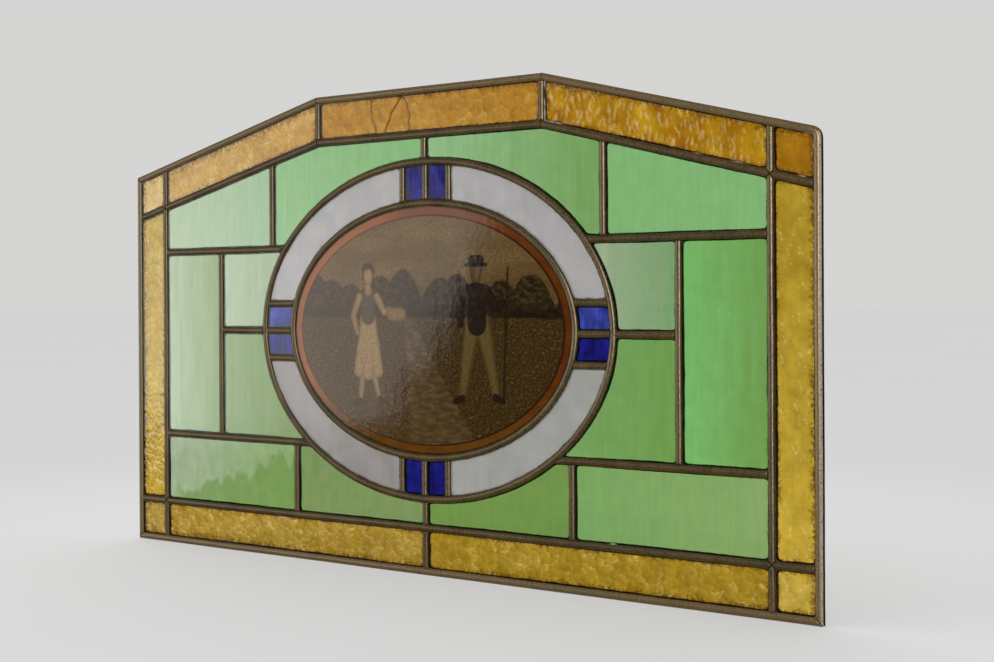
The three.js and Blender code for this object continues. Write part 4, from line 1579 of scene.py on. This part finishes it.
# %% Floor
floor_mesh = bpy.data.meshes.new("floor")
floor_mesh.from_pydata([(-30, -30, 0), (30, -30, 0), (30, 30, 0), (-30, 30, 0)], [], [(0, 1, 2, 3)])
floor = bpy.data.objects.new("floor", floor_mesh)
bpy.context.scene.collection.objects.link(floor)
floor_paint, tree, shader = material("floor_paint")
shade = texture(tree, place_of(tree), 1.3, 3)
grey = mix_colour(tree, step(tree, shade, 0.3, 0.7), (0.365, 0.365, 0.37, 1), (0.375, 0.375, 0.38, 1))
tree.links.new(grey, shader.inputs["Base Color"])
# Painted light: the floor glows, most near the panel, which fills in the panel's shadow there.
distance = vector_maths(tree, "LENGTH", place_of(tree))
far = step(tree, distance, 0.45, 1.3)
painted_fill_light = mix_colour(tree, far, (1.0, 1.0, 0.995, 1), (0.82, 0.82, 0.825, 1))
tree.links.new(painted_fill_light, shader.inputs["Emission Color"])
shader.inputs["Emission Strength"].default_value = 0.375
shader.inputs["Roughness"].default_value = 0.8
shader.inputs["Specular IOR Level"].default_value = 0.0
floor_mesh.materials.append(floor_paint)
floor.visible_glossy = False

# %% World
BACKDROP = 0.665
SURROUND = 0.65
DIFFUSE_LEFT = 1.9
DIFFUSE_RIGHT = 0.05
ROOM = 0.06
BEHIND_LEFT = 0.10
BEHIND_RIGHT = 0.55
WALL_NEAR_EDGE = 1.5
WALL_FAR = 2.6
WALL_TOP_SHARE = 0.5

world = bpy.data.worlds.new("studio")
bpy.context.scene.world = world
world.use_nodes = True
tree = world.node_tree
background = tree.nodes["Background"]
view = add(tree, "ShaderNodeSeparateXYZ", Vector=add(tree, "ShaderNodeTexCoord").outputs["Generated"]).outputs
forward = maths(tree, "MAXIMUM", maths(tree, "MULTIPLY", view[1], -1.0), 0.05)
side = maths(tree, "DIVIDE", view[0], forward)
rise = maths(tree, "DIVIDE", view[2], forward)
past_edge = maths(tree, "SUBTRACT", -0.757, maths(tree, "MULTIPLY_ADD", rise, -0.544, side))
past_edge = maths(tree, "ADD", past_edge, step(tree, rise, 0.078, 0.094, 0, -0.085))
above_foot = maths(tree, "MAXIMUM", maths(tree, "SUBTRACT", rise, 0.03), 0.0)
softness = maths(tree, "MULTIPLY_ADD", above_foot, 0.15, 0.01)
left_of_edge = step(tree, maths(tree, "DIVIDE", past_edge, softness), -0.5, 0.5)
ragged = maths(tree, "MULTIPLY_ADD", texture(tree, view[0], 9.0, 4), 0.02, rise)
sloping = maths(tree, "MAXIMUM", maths(tree, "MULTIPLY_ADD", side, 0.25, 0.116), -0.125)
wall_foot = mix_value(tree, step(tree, side, -0.821, -0.811), sloping, -0.048)
above_foot = maths(tree, "SUBTRACT", ragged, wall_foot)
over_edge = maths(tree, "MULTIPLY", step(tree, above_foot, -0.004, 0.004), step(tree, rise, 0.45, 0.25))
in_front = step(tree, view[1], 0.03, -0.03)
wall = maths(tree, "MULTIPLY", maths(tree, "MULTIPLY", left_of_edge, over_edge), in_front)
wall_light = maths(tree, "MULTIPLY", step(tree, side, -0.80, -1.1, WALL_NEAR_EDGE, WALL_FAR),
                   step(tree, rise, 0.04, 0.15, 1.0, WALL_TOP_SHARE))
behind = step(tree, view[0], -0.1, 0.3, BEHIND_LEFT, BEHIND_RIGHT)
room = add(tree, "ShaderNodeMix", {"data_type": "FLOAT"}, i0=in_front, i2=behind, i3=ROOM).outputs[0]
reflected = add(tree, "ShaderNodeMix", {"data_type": "FLOAT"}, i0=wall, i2=room, i3=wall_light).outputs[0]
rays = add(tree, "ShaderNodeLightPath").outputs
mirrored = maths(tree, "MULTIPLY", rays["Is Glossy Ray"],
                 maths(tree, "SUBTRACT", 1.0, rays["Is Transmission Ray"]))
even_light = maths(tree, "MULTIPLY_ADD", view[0], (DIFFUSE_RIGHT - DIFFUSE_LEFT) / 2,
                   (DIFFUSE_RIGHT + DIFFUSE_LEFT) / 2)
seen = mix_value(tree, rays["Is Diffuse Ray"], SURROUND, even_light)
seen = mix_value(tree, rays["Is Camera Ray"], seen, BACKDROP)
strength = add(tree, "ShaderNodeMix", {"data_type": "FLOAT"}, i0=mirrored, i2=seen, i3=reflected).outputs[0]
background.inputs["Color"].default_value = (1.0, 0.995, 0.985, 1)
tree.links.new(strength, background.inputs["Strength"])


# %% Lights
def soft_light(name, place_at, aim, width, height, power, tint=(1, 1, 1)):
    data = bpy.data.lights.new(name, "AREA")
    data.shape = "RECTANGLE"
    data.size = width
    data.size_y = height
    data.energy = power
    data.color = tint
    lamp = bpy.data.objects.new(name, data)
    lamp.location = place_at
    lamp.rotation_euler = (Vector(aim) - Vector(place_at)).to_track_quat("-Z", "Y").to_euler()
    lamp.visible_camera = False
    lamp.visible_diffuse = False
    lamp.visible_transmission = False
    bpy.context.scene.collection.objects.link(lamp)
    return lamp


panel_middle = (0, 0, oval_z * MM)
soft_light("front_window", (0.7, -4.0, 0.6), panel_middle, 1.0, 2.5, 90, (1.0, 0.90, 0.72))
soft_light("behind", (0.5, 1.8, 1.6), panel_middle, 1.5, 1.0, 12)

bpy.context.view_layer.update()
print("triangles", sum(triangle_count.values()), "most", max(triangle_count.values()))
